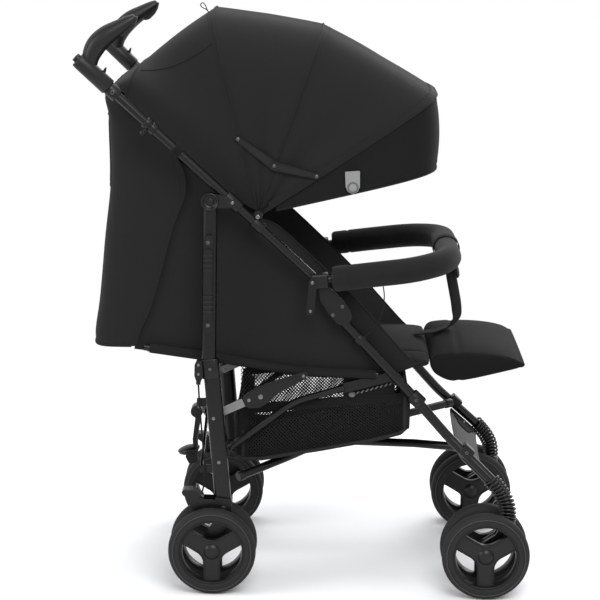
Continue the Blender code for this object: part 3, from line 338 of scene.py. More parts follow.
def box_outline(width, height, corner, steps=4):
    points = []
    for turn, (sx, sy) in enumerate(((1, 1), (-1, 1), (-1, -1), (1, -1))):
        for i in range(steps + 1):
            t = math.pi / 2 * (turn + i / steps)
            points.append((sx * (width / 2 - corner) + corner * math.cos(t),
                           sy * (height / 2 - corner) + corner * math.sin(t)))
    return points


def skin(bm, rings, closed_path=False, caps=True):
    count = len(rings[0])
    last = len(rings) if closed_path else len(rings) - 1
    for i in range(last):
        near, far = rings[i], rings[(i + 1) % len(rings)]
        for j in range(count):
            k = (j + 1) % count
            bm.faces.new((near[j], near[k], far[k], far[j]))
    if caps and not closed_path:
        bm.faces.new(rings[0])
        bm.faces.new(list(reversed(rings[-1])))


def sweep(path, outline, across=(0, 1, 0), sizes=None):
    """A solid along the path. The outline's first axis stays near the direction across."""
    bm = bmesh.new()
    across = Vector(across)
    path = [Vector(p) for p in path]
    rings = []
    for i, point in enumerate(path):
        before = (point - path[i - 1]).normalized() if i else None
        after = (path[i + 1] - point).normalized() if i < len(path) - 1 else None
        tangent = ((before or after) + (after or before)).normalized()
        u = (across - across.dot(tangent) * tangent).normalized()
        v = tangent.cross(u)
        size = sizes[i] if sizes else 1.0
        rings.append([bm.verts.new(point + size * (a * u + b * v)) for a, b in outline])
    skin(bm, rings)
    return bm


def rod(start, end, radius, count=24, soft=0.0):
    """A round bar, its ends rounded where soft is given."""
    start, end = Vector(start), Vector(end)
    along = (end - start).normalized()
    across = (1, 0, 0) if abs(along.x) < 0.9 else (0, 1, 0)
    if not soft:
        return sweep([start, end], round_outline(radius, count), across)
    path, sizes = [], []
    for t in (0, 30, 60, 90):
        a = math.radians(t)
        path.append(start + along * soft * (1 - math.cos(a)))
        sizes.append((radius - soft + soft * math.sin(a)) / radius)
    tail = [end - (p - start) for p in path]
    return sweep([*path, *tail[::-1]], round_outline(radius, count), across, [*sizes, *sizes[::-1]])


def lathe(profile, centre, axis=(0, 1, 0), count=48):
    """A turned solid: a closed profile of (radius, distance along the axis) points."""
    bm = bmesh.new()
    axis = Vector(axis).normalized()
    side = axis.orthogonal().normalized()
    other = axis.cross(side)
    rings = []
    for i in range(count):
        t = 2 * math.pi * i / count
        out = math.cos(t) * side + math.sin(t) * other
        rings.append([bm.verts.new(Vector(centre) + r * out + d * axis) for r, d in profile])
    skin(bm, rings, closed_path=True)
    bmesh.ops.remove_doubles(bm, verts=bm.verts, dist=1e-6)
    bmesh.ops.dissolve_degenerate(bm, dist=1e-7, edges=bm.edges)
    return bm


def plate(outline, y_from, y_to, soft=0.0006, steps=2):
    """A flat piece of (x, z) points between two values of y, its edges rounded."""
    bm = bmesh.new()
    rings = [[bm.verts.new((x, y, z)) for x, z in outline] for y in (y_from, y_to)]
    skin(bm, rings)
    if soft:
        rim = [e for e in bm.edges if e.calc_face_angle(0) > 0.9 and
               any(len(f.verts) == len(outline) for f in e.link_faces)]
        bmesh.ops.bevel(bm, geom=rim, offset=soft, segments=steps, profile=0.5, affect="EDGES")
    return bm


def rounded(corners, radius, steps=6):
    """A closed outline in the plane with every corner rounded."""
    made = []
    count = len(corners)
    for i, corner in enumerate(corners):
        c = Vector((*corner, 0))
        a = Vector((*corners[i - 1], 0)) - c
        b = Vector((*corners[(i + 1) % count], 0)) - c
        r = radius[i] if isinstance(radius, (list, tuple)) else radius
        half = a.angle(b) / 2
        reach = min(r / math.tan(half), 0.45 * a.length, 0.45 * b.length)
        if reach < 1e-5 or half > 1.55:
            made.append(corner)
            continue
        start, end = c + a.normalized() * reach, c + b.normalized() * reach
        for k in range(steps + 1):
            t = k / steps
            p = start * (1 - t) ** 2 + c * 2 * t * (1 - t) + end * t ** 2
            made.append((p.x, p.y))
    return made


def turned_path(corners, radii, steps=8):
    corners = [Vector(c) for c in corners]
    path = [corners[0]]
    for before, corner, after, radius in zip(corners, corners[1:], corners[2:], radii):
        a = (before - corner).normalized()
        b = (after - corner).normalized()
        half = a.angle(b) / 2
        if half > 1.56:
            path.append(corner)
            continue
        room = 0.48 * min((before - corner).length, (after - corner).length)
        reach = min(radius / math.tan(half), room)
        middle = corner + (a + b).normalized() * (reach / math.cos(half))
        start, end = corner + a * reach - middle, corner + b * reach - middle
        turn = math.pi - 2 * half
        for i in range(steps + 1):
            t = turn * i / steps
            path.append(middle + (math.sin(turn - t) * start + math.sin(t) * end) / math.sin(turn))
    path.append(corners[-1])
    return path


def curved(points, steps=8):
    """A smooth line through the points."""
    pts = [Vector(p) for p in points]
    pts = [2 * pts[0] - pts[1], *pts, 2 * pts[-1] - pts[-2]]
    made = []
    for a, b, c, d in zip(pts, pts[1:], pts[2:], pts[3:]):
        for i in range(steps):
            t = i / steps
            made.append(0.5 * (2 * b + (c - a) * t + (2 * a - 5 * b + 4 * c - d) * t * t
                               + (3 * b - a - 3 * c + d) * t ** 3))
    made.append(pts[-2])
    return made


def between(a, b, share):
    return a + (b - a) * share


def lengths(points):
    """The distance along the line at each of its points."""
    total, made = 0.0, [0.0]
    for a, b in zip(points, points[1:]):
        total += (b - a).length
        made.append(total)
    return made


def along_line(path, distance):
    for a, b in zip(path, path[1:]):
        length = (b - a).length
        if distance <= length:
            return a.lerp(b, distance / length)
        distance -= length
    return path[-1]


def spread(path, count):
    """Points an even distance apart along the path, count spaces in all."""
    total = lengths(path)[-1]
    return [along_line(path, total * i / count) for i in range(count + 1)]


def run_at(points, i):
    """The direction of a line of points at one of them."""
    return (points[min(i + 1, len(points) - 1)] - points[max(i - 1, 0)]).normalized()


def flip(point, side):
    return Vector((point[0], side * point[1], point[2]))


class Piece:
    """One visible piece, joined from closed shells that may have different finishes."""

    def __init__(self, name, body, *nodes, slot=None, sharp=36.0):
        self.name = name
        self.body = body
        self.nodes = nodes
        self.slot = slot
        self.sharp = math.radians(sharp)
        self.points = []
        self.faces = []
        self.finishes = []
        self.which = []

    def put(self, finish, *shells):
        if finish not in self.finishes:
            self.finishes.append(finish)
        index = self.finishes.index(finish)
        for bm in shells:
            bmesh.ops.recalc_face_normals(bm, faces=bm.faces)
            bm.verts.ensure_lookup_table()
            bm.verts.index_update()
            start = len(self.points)
            self.points += [v.co.copy() for v in bm.verts]
            self.faces += [[start + v.index for v in f.verts] for f in bm.faces]
            self.which += [index] * len(bm.faces)
            bm.free()
        return self

    def object(self):
        mesh = bpy.data.meshes.new(self.name)
        mesh.from_pydata([at(*p) for p in self.points], [], self.faces)
        for finish in self.finishes:
            mesh.materials.append(FINISH[finish])
        mesh.polygons.foreach_set("material_index", self.which)
        smooth_mesh(mesh, self.sharp)
        return placed(self.name, mesh)

    def ride(self):
        made = self.object()
        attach(made, self.body)
        return self.known(made)

    def known(self, made):
        if self.nodes:
            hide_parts(*self.nodes)
        return made


def smooth_mesh(mesh, sharp):
    bm = bmesh.new()
    bm.from_mesh(mesh)
    for face in bm.faces:
        face.smooth = True
    for edge in bm.edges:
        edge.smooth = edge.calc_face_angle(math.pi) < sharp
    bm.to_mesh(mesh)
    bm.free()


def collar(centre, along, length, radius, soft=0.0010, count=32):
    centre, along = Vector(centre), Vector(along).normalized()
    return rod(centre - along * length / 2, centre + along * length / 2, radius, count, soft)


def boss(x, z, radius, y_from, y_to, soft=0.0006, count=32):
    return rod((x, y_from, z), (x, y_to, z), radius, count, min(soft, abs(y_to - y_from) * 0.4))


# Repeats laid out by geometry nodes
def stamp_tree(name, stamp, finish):
    """Puts the stamp on every point, its Z along the point's normal and its X along the point's run."""
    tree = bpy.data.node_groups.new(name, "GeometryNodeTree")
    tree.interface.new_socket("Points", in_out="INPUT", socket_type="NodeSocketGeometry")
    size = tree.interface.new_socket("Size", in_out="INPUT", socket_type="NodeSocketFloat")
    seed = tree.interface.new_socket("Seed", in_out="INPUT", socket_type="NodeSocketInt")
    size.default_value = 1.0
    seed.default_value = 3
    tree.interface.new_socket("Heads", in_out="OUTPUT", socket_type="NodeSocketGeometry")
    new = tree.nodes.new
    entry, leave = new("NodeGroupInput"), new("NodeGroupOutput")
    info = new("GeometryNodeObjectInfo")
    info.inputs["Object"].default_value = stamp
    facing, run = new("GeometryNodeInputNamedAttribute"), new("GeometryNodeInputNamedAttribute")
    for node, attribute in ((facing, "facing"), (run, "run")):
        node.data_type = "FLOAT_VECTOR"
        node.inputs["Name"].default_value = attribute
    upright, turned_to = new("FunctionNodeAlignRotationToVector"), new("FunctionNodeAlignRotationToVector")
    upright.axis, turned_to.axis, turned_to.pivot_axis = "Z", "X", "Z"
    vary = new("FunctionNodeRandomValue")
    vary.data_type = "FLOAT"
    numbers = [s for s in vary.inputs if s.type == "VALUE"]
    numbers[0].default_value, numbers[1].default_value = 0.94, 1.06
    times = new("ShaderNodeMath")
    times.operation = "MULTIPLY"
    put, real, paint = (new("GeometryNode" + k)
                        for k in ("InstanceOnPoints", "RealizeInstances", "SetMaterial"))
    paint.inputs["Material"].default_value = FINISH[finish]
    link = tree.links.new
    link(entry.outputs[0], put.inputs["Points"])
    link(info.outputs["Geometry"], put.inputs["Instance"])
    link(facing.outputs[0], upright.inputs["Vector"])
    link(upright.outputs[0], turned_to.inputs["Rotation"])
    link(run.outputs[0], turned_to.inputs["Vector"])
    link(turned_to.outputs[0], put.inputs["Rotation"])
    link(entry.outputs[2], vary.inputs["Seed"])
    link([o for o in vary.outputs if o.type == "VALUE"][0], times.inputs[0])
    link(entry.outputs[1], times.inputs[1])
    link(times.outputs[0], put.inputs["Scale"])
    link(put.outputs[0], real.inputs[0])
    link(real.outputs[0], paint.inputs[0])
    link(paint.outputs[0], leave.inputs[0])
    return tree, size.identifier, seed.identifier


def stamp_object(name, *shells):
    mesh = bpy.data.meshes.new(name)
    bm = bmesh.new()
    for shell in shells:
        part = bpy.data.meshes.new("part")
        bmesh.ops.recalc_face_normals(shell, faces=shell.faces)
        shell.to_mesh(part)
        shell.free()
        bm.from_mesh(part)
        bpy.data.meshes.remove(part)
    bm.to_mesh(mesh)
    bm.free()
    smooth_mesh(mesh, math.radians(40))
    return bpy.data.objects.new(name, mesh)


STAMPS = {
    "rivet": stamp_object("rivet_head", lathe(
        [(0, -0.0012), (0.0034, -0.0012), (0.0034, 0.0002), (0.0030, 0.0009), (0.0019, 0.0013), (0, 0.0014)],
        (0, 0, 0), (0, 0, 1), 24)),
    "screw": stamp_object("screw_head", lathe(
        [(0, -0.0012), (0.0036, -0.0012), (0.0036, 0.0004), (0.0031, 0.0010), (0.0016, 0.0012),
         (0.0014, 0.0003), (0, 0.0003)],
        (0, 0, 0), (0, 0, 1), 24)),
    "stitch": stamp_object("stitch", sweep(
        [(-0.0015, 0, -0.0002), (-0.0010, 0, 0.0002), (0.0010, 0, 0.0002), (0.0015, 0, -0.0002)],
        round_outline(0.00030, 6), (0, 1, 0))),
}
MADE_TREES = {}


def repeats(name, body, kind, finish, places, size=1.0):
    """One piece of equal heads or stitches: places are (point, facing, run), from the rear axle."""
    if (kind, finish) not in MADE_TREES:
        MADE_TREES[kind, finish] = stamp_tree("lay_%s_%s" % (kind, finish), STAMPS[kind], finish)
    tree, size_input, seed_input = MADE_TREES[kind, finish]
    mesh = bpy.data.meshes.new(name + "_points")
    mesh.from_pydata([at(*p) for p, facing, run in places], [], [])
    for attribute, pick in (("facing", 1), ("run", 2)):
        made = mesh.attributes.new(attribute, "FLOAT_VECTOR", "POINT")
        made.data.foreach_set("vector", [c for place in places for c in Vector(place[pick]).normalized()])
    start = placed(name + "_points", mesh)
    lay = start.modifiers.new("lay", "NODES")
    lay.node_group = tree
    lay[size_input] = size
    lay[seed_input] = 3
    final = final_mesh(start)
    bpy.data.objects.remove(start, do_unlink=True)
    final.name = name
    made = placed(name, final)
    if body:
        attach(made, body)
    return made


# Cloth laid out as a grid of points
SEAM_LIFT = 0.0001
HEM_LIFT = 0.0002
EASE = 1.002
AREA_EASE = 1.001


def grid_normals(grid):
    rows, columns = len(grid), len(grid[0])
    made = []
    for i in range(rows):
        line = []
        for j in range(columns):
            a = grid[min(i + 1, rows - 1)][j] - grid[max(i - 1, 0)][j]
            b = grid[i][min(j + 1, columns - 1)] - grid[i][max(j - 1, 0)]
            line.append(a.cross(b).normalized())
        made.append(line)
    return made


class Sheet:
    """A closed sheet of cloth that keeps the grid of its outer face, for hems, seams and stitches."""

    def __init__(self, name, grid, finish, outward, thick=0.0012, shape=None):
        """shape(row share, column share, point) gives the folds, outwards."""
        rows, columns = len(grid), len(grid[0])
        normals = grid_normals(grid)
        sign = 1 if normals[rows // 2][columns // 2].dot(Vector(outward)) > 0 else -1
        self.outer = []
        for i, row in enumerate(grid):
            line = []
            for j, point in enumerate(row):
                rise = shape(i / (rows - 1), j / (columns - 1), point) if shape else 0.0
                line.append(point + sign * normals[i][j] * rise)
            self.outer.append(line)
        self.facing = [[sign * n for n in line] for line in grid_normals(self.outer)]
        mesh = self.shell(name, thick)
        mesh.materials.append(FINISH[finish])
        smooth_mesh(mesh, math.radians(50))
        self.made = placed(name, mesh)

    def shell(self, name, thick):
        """The outer face, the inner face and the rim between them, with a cloth map in metres."""
        rows, columns = len(self.outer), len(self.outer[0])
        bm = bmesh.new()
        top = [[bm.verts.new(at(*p)) for p in row] for row in self.outer]
        low = [[bm.verts.new(at(*(p - n * thick))) for p, n in zip(row, line)]
               for row, line in zip(self.outer, self.facing)]
        across = lengths([row[columns // 2] for row in self.outer])
        along = lengths(self.outer[rows // 2])
        uv = bm.loops.layers.uv.new("cloth")
        place = {}
        for i in range(rows):
            for j in range(columns):
                place[top[i][j]] = place[low[i][j]] = (along[j], across[i])

        def face(*corners):
            for loop in bm.faces.new(corners).loops:
                loop[uv].uv = place[loop.vert]

        for i in range(rows - 1):
            for j in range(columns - 1):
                face(top[i][j], top[i][j + 1], top[i + 1][j + 1], top[i + 1][j])
                face(low[i][j], low[i + 1][j], low[i + 1][j + 1], low[i][j + 1])
        rim = [(i, 0) for i in range(rows)] + [(rows - 1, j) for j in range(1, columns)]
        rim += [(i, columns - 1) for i in range(rows - 2, -1, -1)]
        rim += [(0, j) for j in range(columns - 2, 0, -1)]
        for (a, b), (c, d) in zip(rim, rim[1:] + rim[:1]):
            face(top[a][b], top[c][d], low[c][d], low[a][b])
        return mesh_of(bm, name)

    def line(self, places, lift=SEAM_LIFT):
        """(point, facing) pairs at these (row, column) places, raised a little from the face."""
        return [(self.outer[i][j] + self.facing[i][j] * lift, self.facing[i][j]) for i, j in places]

    def row(self, i, lift=SEAM_LIFT, skip=1, leave=1):
        """A line along row i, without its first few places and its last few."""
        return self.line([(i, j) for j in range(skip, len(self.outer[0]) - leave)], lift)

    def column(self, j, lift=SEAM_LIFT, skip=1, leave=1):
        return self.line([(i, j) for i in range(skip, len(self.outer) - leave)], lift)

    def second_finish(self, finish, chosen):
        """Gives the chosen faces another cloth."""
        self.made.data.materials.append(FINISH[finish])
        for face in self.made.data.polygons:
            if chosen(face):
                face.material_index = 1

    def flat_size(self):
        """The longest row and the longest column, with a little ease."""
        width = max(lengths(row)[-1] for row in self.outer)
        length = max(lengths(column)[-1] for column in zip(*self.outer))
        return width * EASE, length * EASE

    def area(self):
        total = 0.0
        for a, b in zip(self.outer, self.outer[1:]):
            for p, q, r, s in zip(a, a[1:], b, b[1:]):
                total += ((q - p).cross(r - p).length + (q - s).cross(r - s).length) / 2
        return total

    def declare(self):
        """Works out the flat size and area of the cloth that the sheet is cut from, and does nothing more
        with them.
        """
        width, length = self.flat_size()
        area = min(self.area() * AREA_EASE, width * length)

    def ride(self, body, nodes, held, rests_on, slot="cloth"):
        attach(self.made, body)
        if nodes:
            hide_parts(*nodes)
        self.declare()


def stitch_row(line, step=0.0042):
    """Stitch places along a line of (point, facing) pairs."""
    places = []
    points = [p for p, n in line]
    marks = lengths(points)
    total = marks[-1]
    count = max(2, int(total / step))
    k = 0
    for s in range(count):
        target = (s + 0.5) * total / count
        while marks[k + 1] < target and k < len(marks) - 2:
            k += 1
        share = (target - marks[k]) / max(marks[k + 1] - marks[k], 1e-9)
        run = (points[k + 1] - points[k]).normalized()
        facing = line[k][1].lerp(line[k + 1][1], share).normalized()
        places.append((points[k].lerp(points[k + 1], share), facing, run))
    return places


def sew(name, body, lines, finish="thread"):
    """Rows of stitches along lines of (point, facing) pairs."""
    return repeats(name, body, "stitch", finish, [place for line in lines for place in stitch_row(line)])


def piping(line, radius=0.0016):
    points = [p for p, n in line]
    return sweep(points, round_outline(radius, 8), line[len(line) // 2][1].orthogonal())


def trim(name, body, *cords):
    """Piping along hems and seams, as one piece."""
    Piece(name, body, slot="cloth").put("piping", *cords).ride()


# Lines of the side frame, as (x, half track, z)
TUBE_TOP = (-0.183, 0.236, 0.9215)
TUBE_END = (0.186, 0.1935, 0.5751)
LEG_TOP = (0.2050, 0.180, 0.5280)
LEG_LINE = (
    LEG_TOP, (0.3600, 0.180, 0.3630), (0.4270, 0.188, 0.2880), (0.4740, 0.200, 0.2440),
    (0.5080, 0.2105, 0.2120), (0.5390, 0.2175, 0.1750),
)
CASTER = (0.5390, 0.2175)
FRONT_AXLE_X = 0.498
AXLE_Z = 0.080
REAR_LEG_HALF = 0.2065
WHEEL_OFFSET = 0.0335
WHEEL_PAIRS = (("rear", 0.0, 0.413), ("front", FRONT_AXLE_X, 0.435))
STEM_BOTTOM = 0.1060
HOUSING_TOP = 0.1380
SPRING_LIFT = 0.0060
SPRING_RADIUS = 0.0135
SPRING_WIRE = 0.0019
SPRING_TURNS = 12
PUSH_TUBE_RADIUS = 0.0080
FRONT_TUBE_RADIUS = 0.0090
RAIL_RADIUS = 0.0062
CLOTH_HALF = 0.189
PANEL_HALF = 0.1647
RAIL_INNER = 0.1666
LEG_INNER = 0.1965
LEG_OUTER = 0.2165
LEG_PIVOT = (-0.006, 0.719)
CANOPY_PIVOT = (0.079, 0.692)
LINK_PIVOT = (0.001, 0.322)
LINK_END = (0.165, 0.399)
CLAMP_Z = 0.2610
HANDLE_SLEEVE = 0.072
RIVETS = {}
HEADS = {"rivet": ("rivet", "rivet"), "pin": ("rivet", "dark_screw"), "screw": ("screw", "dark_screw")}


def rivet(body, head, point, facing, size=1.0):
    """Notes one head. Equal heads of one body are laid out together at the end."""
    places = RIVETS.setdefault((body, *HEADS[head], size), [])
    places.append((Vector(point), Vector(facing), Vector((0.7, 0.1, 0.7))))


def tube_at(x):
    return Vector(TUBE_TOP).lerp(Vector(TUBE_END), (x - TUBE_TOP[0]) / (TUBE_END[0] - TUBE_TOP[0]))


def leg_line(side, steps):
    corners = [*LEG_LINE, (*CASTER, STEM_BOTTOM)]
    return turned_path([(x, side * y, z) for x, y, z in corners], [0.2, 0.2, 0.2, 0.06, 0.065], steps)


def make_push_tube(tag, side):
    top, end = flip(TUBE_TOP, side), flip(TUBE_END, side)
    along = (end - top).normalized()
    out = Vector((0, side, 0))
    clamp, sleeve = flip(tube_at(-0.111), side), flip(tube_at(-0.064), side)
    clip = flip(tube_at(CANOPY_PIVOT[0]), side)
    x, z = CANOPY_PIVOT
    knob = clamp + Vector((-0.005, 0, -0.005))
    away = Vector((-0.012, 0, -0.011)).normalized()
    piece = Piece("push_tube_" + tag, "front_frame", "push_tube_" + tag, slot="tube")
    piece.put("tube", rod(top, end, PUSH_TUBE_RADIUS, 32))
    piece.put("plastic", collar(top + along * 0.011, along, 0.0220, 0.0127, 0.0016),
              collar(top + along * 0.0205, along, 0.0030, 0.0119, 0.0008),
              collar(clamp - along * 0.0070, along, 0.0110, 0.0114, 0.0016),
              collar(clamp + along * 0.0065, along, 0.0120, 0.0108, 0.0016),
              collar(clip, along, 0.0220, 0.0105, 0.0012),
              collar(knob + away * 0.004, away, 0.0070, 0.0038, 0.0006, 20),
              collar(knob + away * 0.0110, away, 0.0086, 0.0050, 0.0018, 24),
              boss(x, z, 0.0085, side * 0.1985, clip.y - side * 0.002, 0.0008),
              boss(x, z, 0.0035, side * 0.1992, side * 0.1692, 0.0005, 20))
    piece.put("cuff", collar(sleeve, along, 0.0160, 0.0095, 0.0007))
    piece.ride()
    rivet("front_frame", "screw", top + along * 0.011 + out * 0.0122, out, 1.1)
    rivet("front_frame", "rivet", (x, clip.y + side * 0.0096, z), out, 1.2)


def make_hub(tag, side):
    px, pz = LEG_PIVOT
    outer = LEG_OUTER + 0.0007
    mid = flip(tube_at(0.034), side)
    along = (flip(TUBE_END, side) - flip(TUBE_TOP, side)).normalized()
    dish = [
        (0.0, side * outer), (0.0150, side * outer), (0.0163, side * (outer + 0.0012)),
        (0.0163, side * (outer + 0.0062)), (0.0156, side * (outer + 0.0074)),
        (0.0144, side * (outer + 0.0078)), (0.0132, side * (outer + 0.0070)),
        (0.0118, side * (outer + 0.0052)), (0.0096, side * (outer + 0.0034)),
        (0.0070, side * (outer + 0.0030)), (0.0062, side * (outer + 0.0046)),
        (0.0046, side * (outer + 0.0052)), (0.0, side * (outer + 0.0054)),
    ]
    arm = [
        (px + 0.004, pz + 0.0140), (mid.x - 0.008, mid.z + 0.013), (mid.x + 0.010, mid.z + 0.004),
        (mid.x + 0.002, mid.z - 0.010), (px + 0.010, pz - 0.0115),
    ]
    piece = Piece("hinge_hub_" + tag, "front_frame", "hinge_hub_" + tag, slot="plastic")
    piece.put("plastic", lathe(dish, (px, 0, pz)),
              plate(rounded(arm, 0.004), side * outer, side * (outer + 0.0045), 0.0012),
              collar(mid, along, 0.0340, PUSH_TUBE_RADIUS + 0.0042, 0.0014),
              boss(px, pz, 0.0050, side * (outer + 0.001), side * (LEG_INNER + 0.0015)))
    piece.ride()
    rivet("front_frame", "rivet", (mid.x, mid.y + side * 0.0118, mid.z), (0, side, 0), 0.9)


def make_front_leg(tag, side):
    half = LEG_TOP[1]
    stem_top = Vector((CASTER[0], side * CASTER[1], HOUSING_TOP + SPRING_LIFT))
    seat_low = Vector((CASTER[0], side * CASTER[1], HOUSING_TOP - 0.0006))
    path = [*leg_line(side, 7)[:-1], stem_top]
    leaf_y = half + FRONT_TUBE_RADIUS - 0.002
    leaf = [
        (0.1885, 0.5640), (0.1960, 0.5690), (0.2120, 0.5590), (0.2330, 0.5390), (0.2470, 0.5190),
        (0.2500, 0.5070), (0.2450, 0.4960), (0.2340, 0.4900), (0.2220, 0.4960), (0.2060, 0.5150),
        (0.1920, 0.5370),
    ]
    start = Vector((0.360, side * half, 0.363))
    down = Vector((0.727, 0, -0.687))
    small = flip(LEG_TOP, side).lerp(flip(LEG_LINE[1], side), 0.385)
    socket_y = side * 0.198
    link = [(0.1715, 0.5770), (0.1765, 0.5840), (0.1850, 0.5800), (0.1860, 0.5700),
            (0.1815, 0.5230), (0.1770, 0.5145), (0.1700, 0.5150), (0.1670, 0.5220)]
    clamp = Vector((0.462, side * (half + 0.014), CLAMP_Z))
    piece = Piece("front_leg_" + tag, "front_frame", "front_leg_" + tag, slot="tube")
    piece.put("tube", sweep(path, round_outline(FRONT_TUBE_RADIUS, 32)),
              rod(stem_top, (CASTER[0], side * CASTER[1], STEM_BOTTOM), 0.0065, 24),
              plate(rounded(link, 0.004), side * 0.2125, side * 0.2160, 0.0008))
    piece.put("plastic", plate(rounded(leaf, 0.006, 4), side * leaf_y, side * (leaf_y + 0.0046), 0.0016),
              plate(rounded([(x + (0.219 - x) * 0.24, z + (0.530 - z) * 0.24) for x, z in leaf], 0.005, 4),
                    side * (leaf_y + 0.004), side * (leaf_y + 0.0055), 0.0006),
              collar(start + down * 0.0130, down, 0.0260, 0.0130, 0.0018),
              collar(start + down * 0.0245, down, 0.0030, 0.0122, 0.0008),
              collar(small, down, 0.0140, 0.0112, 0.0010),
              sweep([(0.1760, socket_y, 0.5745), (0.1772, socket_y, 0.5746), (0.2048, socket_y, 0.5764),
                     (0.2060, socket_y, 0.5765)], box_outline(0.031, 0.026, 0.004), (0, 1, 0),
                    [0.90, 1, 1, 0.90]),
              sweep([clamp + down * k for k in (-0.012, -0.0108, 0.0108, 0.012)],
                    box_outline(0.026, 0.022, 0.005), (0, 1, 0), [0.90, 1, 1, 0.90]),
              rod(seat_low, seat_low + Vector((0, 0, 0.0044)), 0.0147, 32, 0.0006))
    piece.ride()
    out = (0, side, 0)
    for x, z in ((0.2320, 0.5270), (0.2150, 0.5110)):
        rivet("front_frame", "screw", (x, side * (leaf_y + 0.0052), z), out, 1.0)
    rivet("front_frame", "rivet", (0.1775, side * 0.2155, 0.5740), out, 0.9)
    rivet("front_frame", "rivet", (0.1745, side * 0.2155, 0.5220), out, 0.8)
    rivet("front_frame", "screw", clamp + Vector((0, side * 0.0124, 0)), out, 0.9)
    rivet("front_frame", "screw", start + down * 0.012 + Vector((0, side * 0.0125, 0)), out, 0.8)


def make_spring(tag, side):
    path = leg_line(side, 9)
    end = lengths(path)[-1] - (HOUSING_TOP + SPRING_LIFT - STEM_BOTTOM)
    start = end - 0.0800
    steps = SPRING_TURNS * 20
    points = []

    def nearby(i):
        here = between(start, end, i / steps)
        return [along_line(path, here + k * 0.010) for k in (-1, 0, 1)]

    for i in range(steps + 1):
        before, centre, after = nearby(i)
        tangent = (after - before).normalized()
        u = (Vector((0, 1, 0)) - tangent.y * tangent).normalized()
        v = tangent.cross(u)
        angle = 2 * math.pi * SPRING_TURNS * i / steps * side
        out = math.cos(angle) * u + math.sin(angle) * v
        points.append((before + centre + after) / 3 + SPRING_RADIUS * out)
    bm = bmesh.new()
    rings = []
    ring = round_outline(SPRING_WIRE * 1.22, 10)
    for i, point in enumerate(points):
        tangent = run_at(points, i)
        centre = sum(nearby(i), Vector()) / 3
        u = (point - centre).normalized()
        u = (u - u.dot(tangent) * tangent).normalized()
        v = tangent.cross(u)
        rings.append([bm.verts.new(point + a * u + b * v) for a, b in ring])
    skin(bm, rings)
    piece = Piece("caster_spring_" + tag, "front_frame", "caster_spring_" + tag, slot="steel")
    piece.put("spring", bm)
    piece.ride()


def make_side_frame(tag, side):
    y = side * (RAIL_INNER + RAIL_RADIUS)
    edge = turned_path([(-0.128, y, 0.4435), (0.010, y, 0.4250), (0.150, y, 0.4020), (0.299, y, 0.3973)],
                       [0.3, 0.3], 6)
    lower = turned_path([(0.024, y, 0.2530), (0.146, y, 0.3450), (0.237, y, 0.3720)], [0.12], 10)
    bar = [(0.225, 0.3630), (0.240, 0.3620), (0.330, 0.3860), (0.335, 0.3980), (0.322, 0.4020),
           (0.228, 0.3780)]
    piece = Piece("seat_side_frame_" + tag, "front_frame", "seat_side_frame_" + tag, slot="tube")
    piece.put("tube", sweep(edge, round_outline(RAIL_RADIUS, 24)),
              sweep(lower, round_outline(RAIL_RADIUS, 24)),
              plate(rounded(bar, 0.005, 4), side * 0.1676, side * 0.1706, 0.0006))
    piece.put("plastic", boss(0.024, 0.2530, 0.0070, y - side * 0.003, side * (LEG_INNER - 0.0012)))
    piece.ride()
    total = lengths(edge)[-1]
    sleeve = [along_line(edge, between(0.010, total - 0.004, k / 90)) for k in range(91)]
    sizes = [1 + 0.05 * noise(p * 60) for p in sleeve]
    cover = Piece("seat_tube_sleeve_" + tag, "front_frame", slot="cloth")
    cover.put("seat", sweep(sleeve, round_outline(RAIL_RADIUS + 0.0013, 24), sizes=sizes))
    # The hem under the sleeve is a darker cloth: painted shade under the tube.
    hem = [p + Vector((0, side * 0.0012, -RAIL_RADIUS - 0.0010)) for p in sleeve]
    cover.put("painted_shade_hem", sweep(hem, round_outline(0.0017, 8)))
    cover.ride()


def make_lower_cross(tag, side, lift):
    points = [
        (0.045, side * (LEG_INNER - 0.010), 0.2050), (0.140, side * 0.1061, 0.2215 + lift * 0.4),
        (0.240, 0.0, 0.2360 + lift), (0.370, -side * 0.1041, 0.2550 + lift * 0.4),
        (0.4545, -side * 0.1743, CLAMP_Z + 0.0025),
    ]
    path = turned_path(points, [0.5, 0.5, 0.5], 8)
    piece = Piece("lower_cross_bar_" + tag, "front_frame", "lower_cross_bar_" + tag, slot="tube")
    piece.put("tube", sweep(path, round_outline(0.0078, 24), (0, 0, 1)))
    a, b = path[0], path[3]
    along = (b - a).normalized()
    piece.put("plastic", collar(a + along * 0.007, along, 0.0130, 0.0090, 0.0010))
    c, d = path[-4], path[-1]
    along = (c - d).normalized()
    piece.put("plastic", collar(d + along * 0.010, along, 0.0160, 0.0090, 0.0010))
    piece.ride()


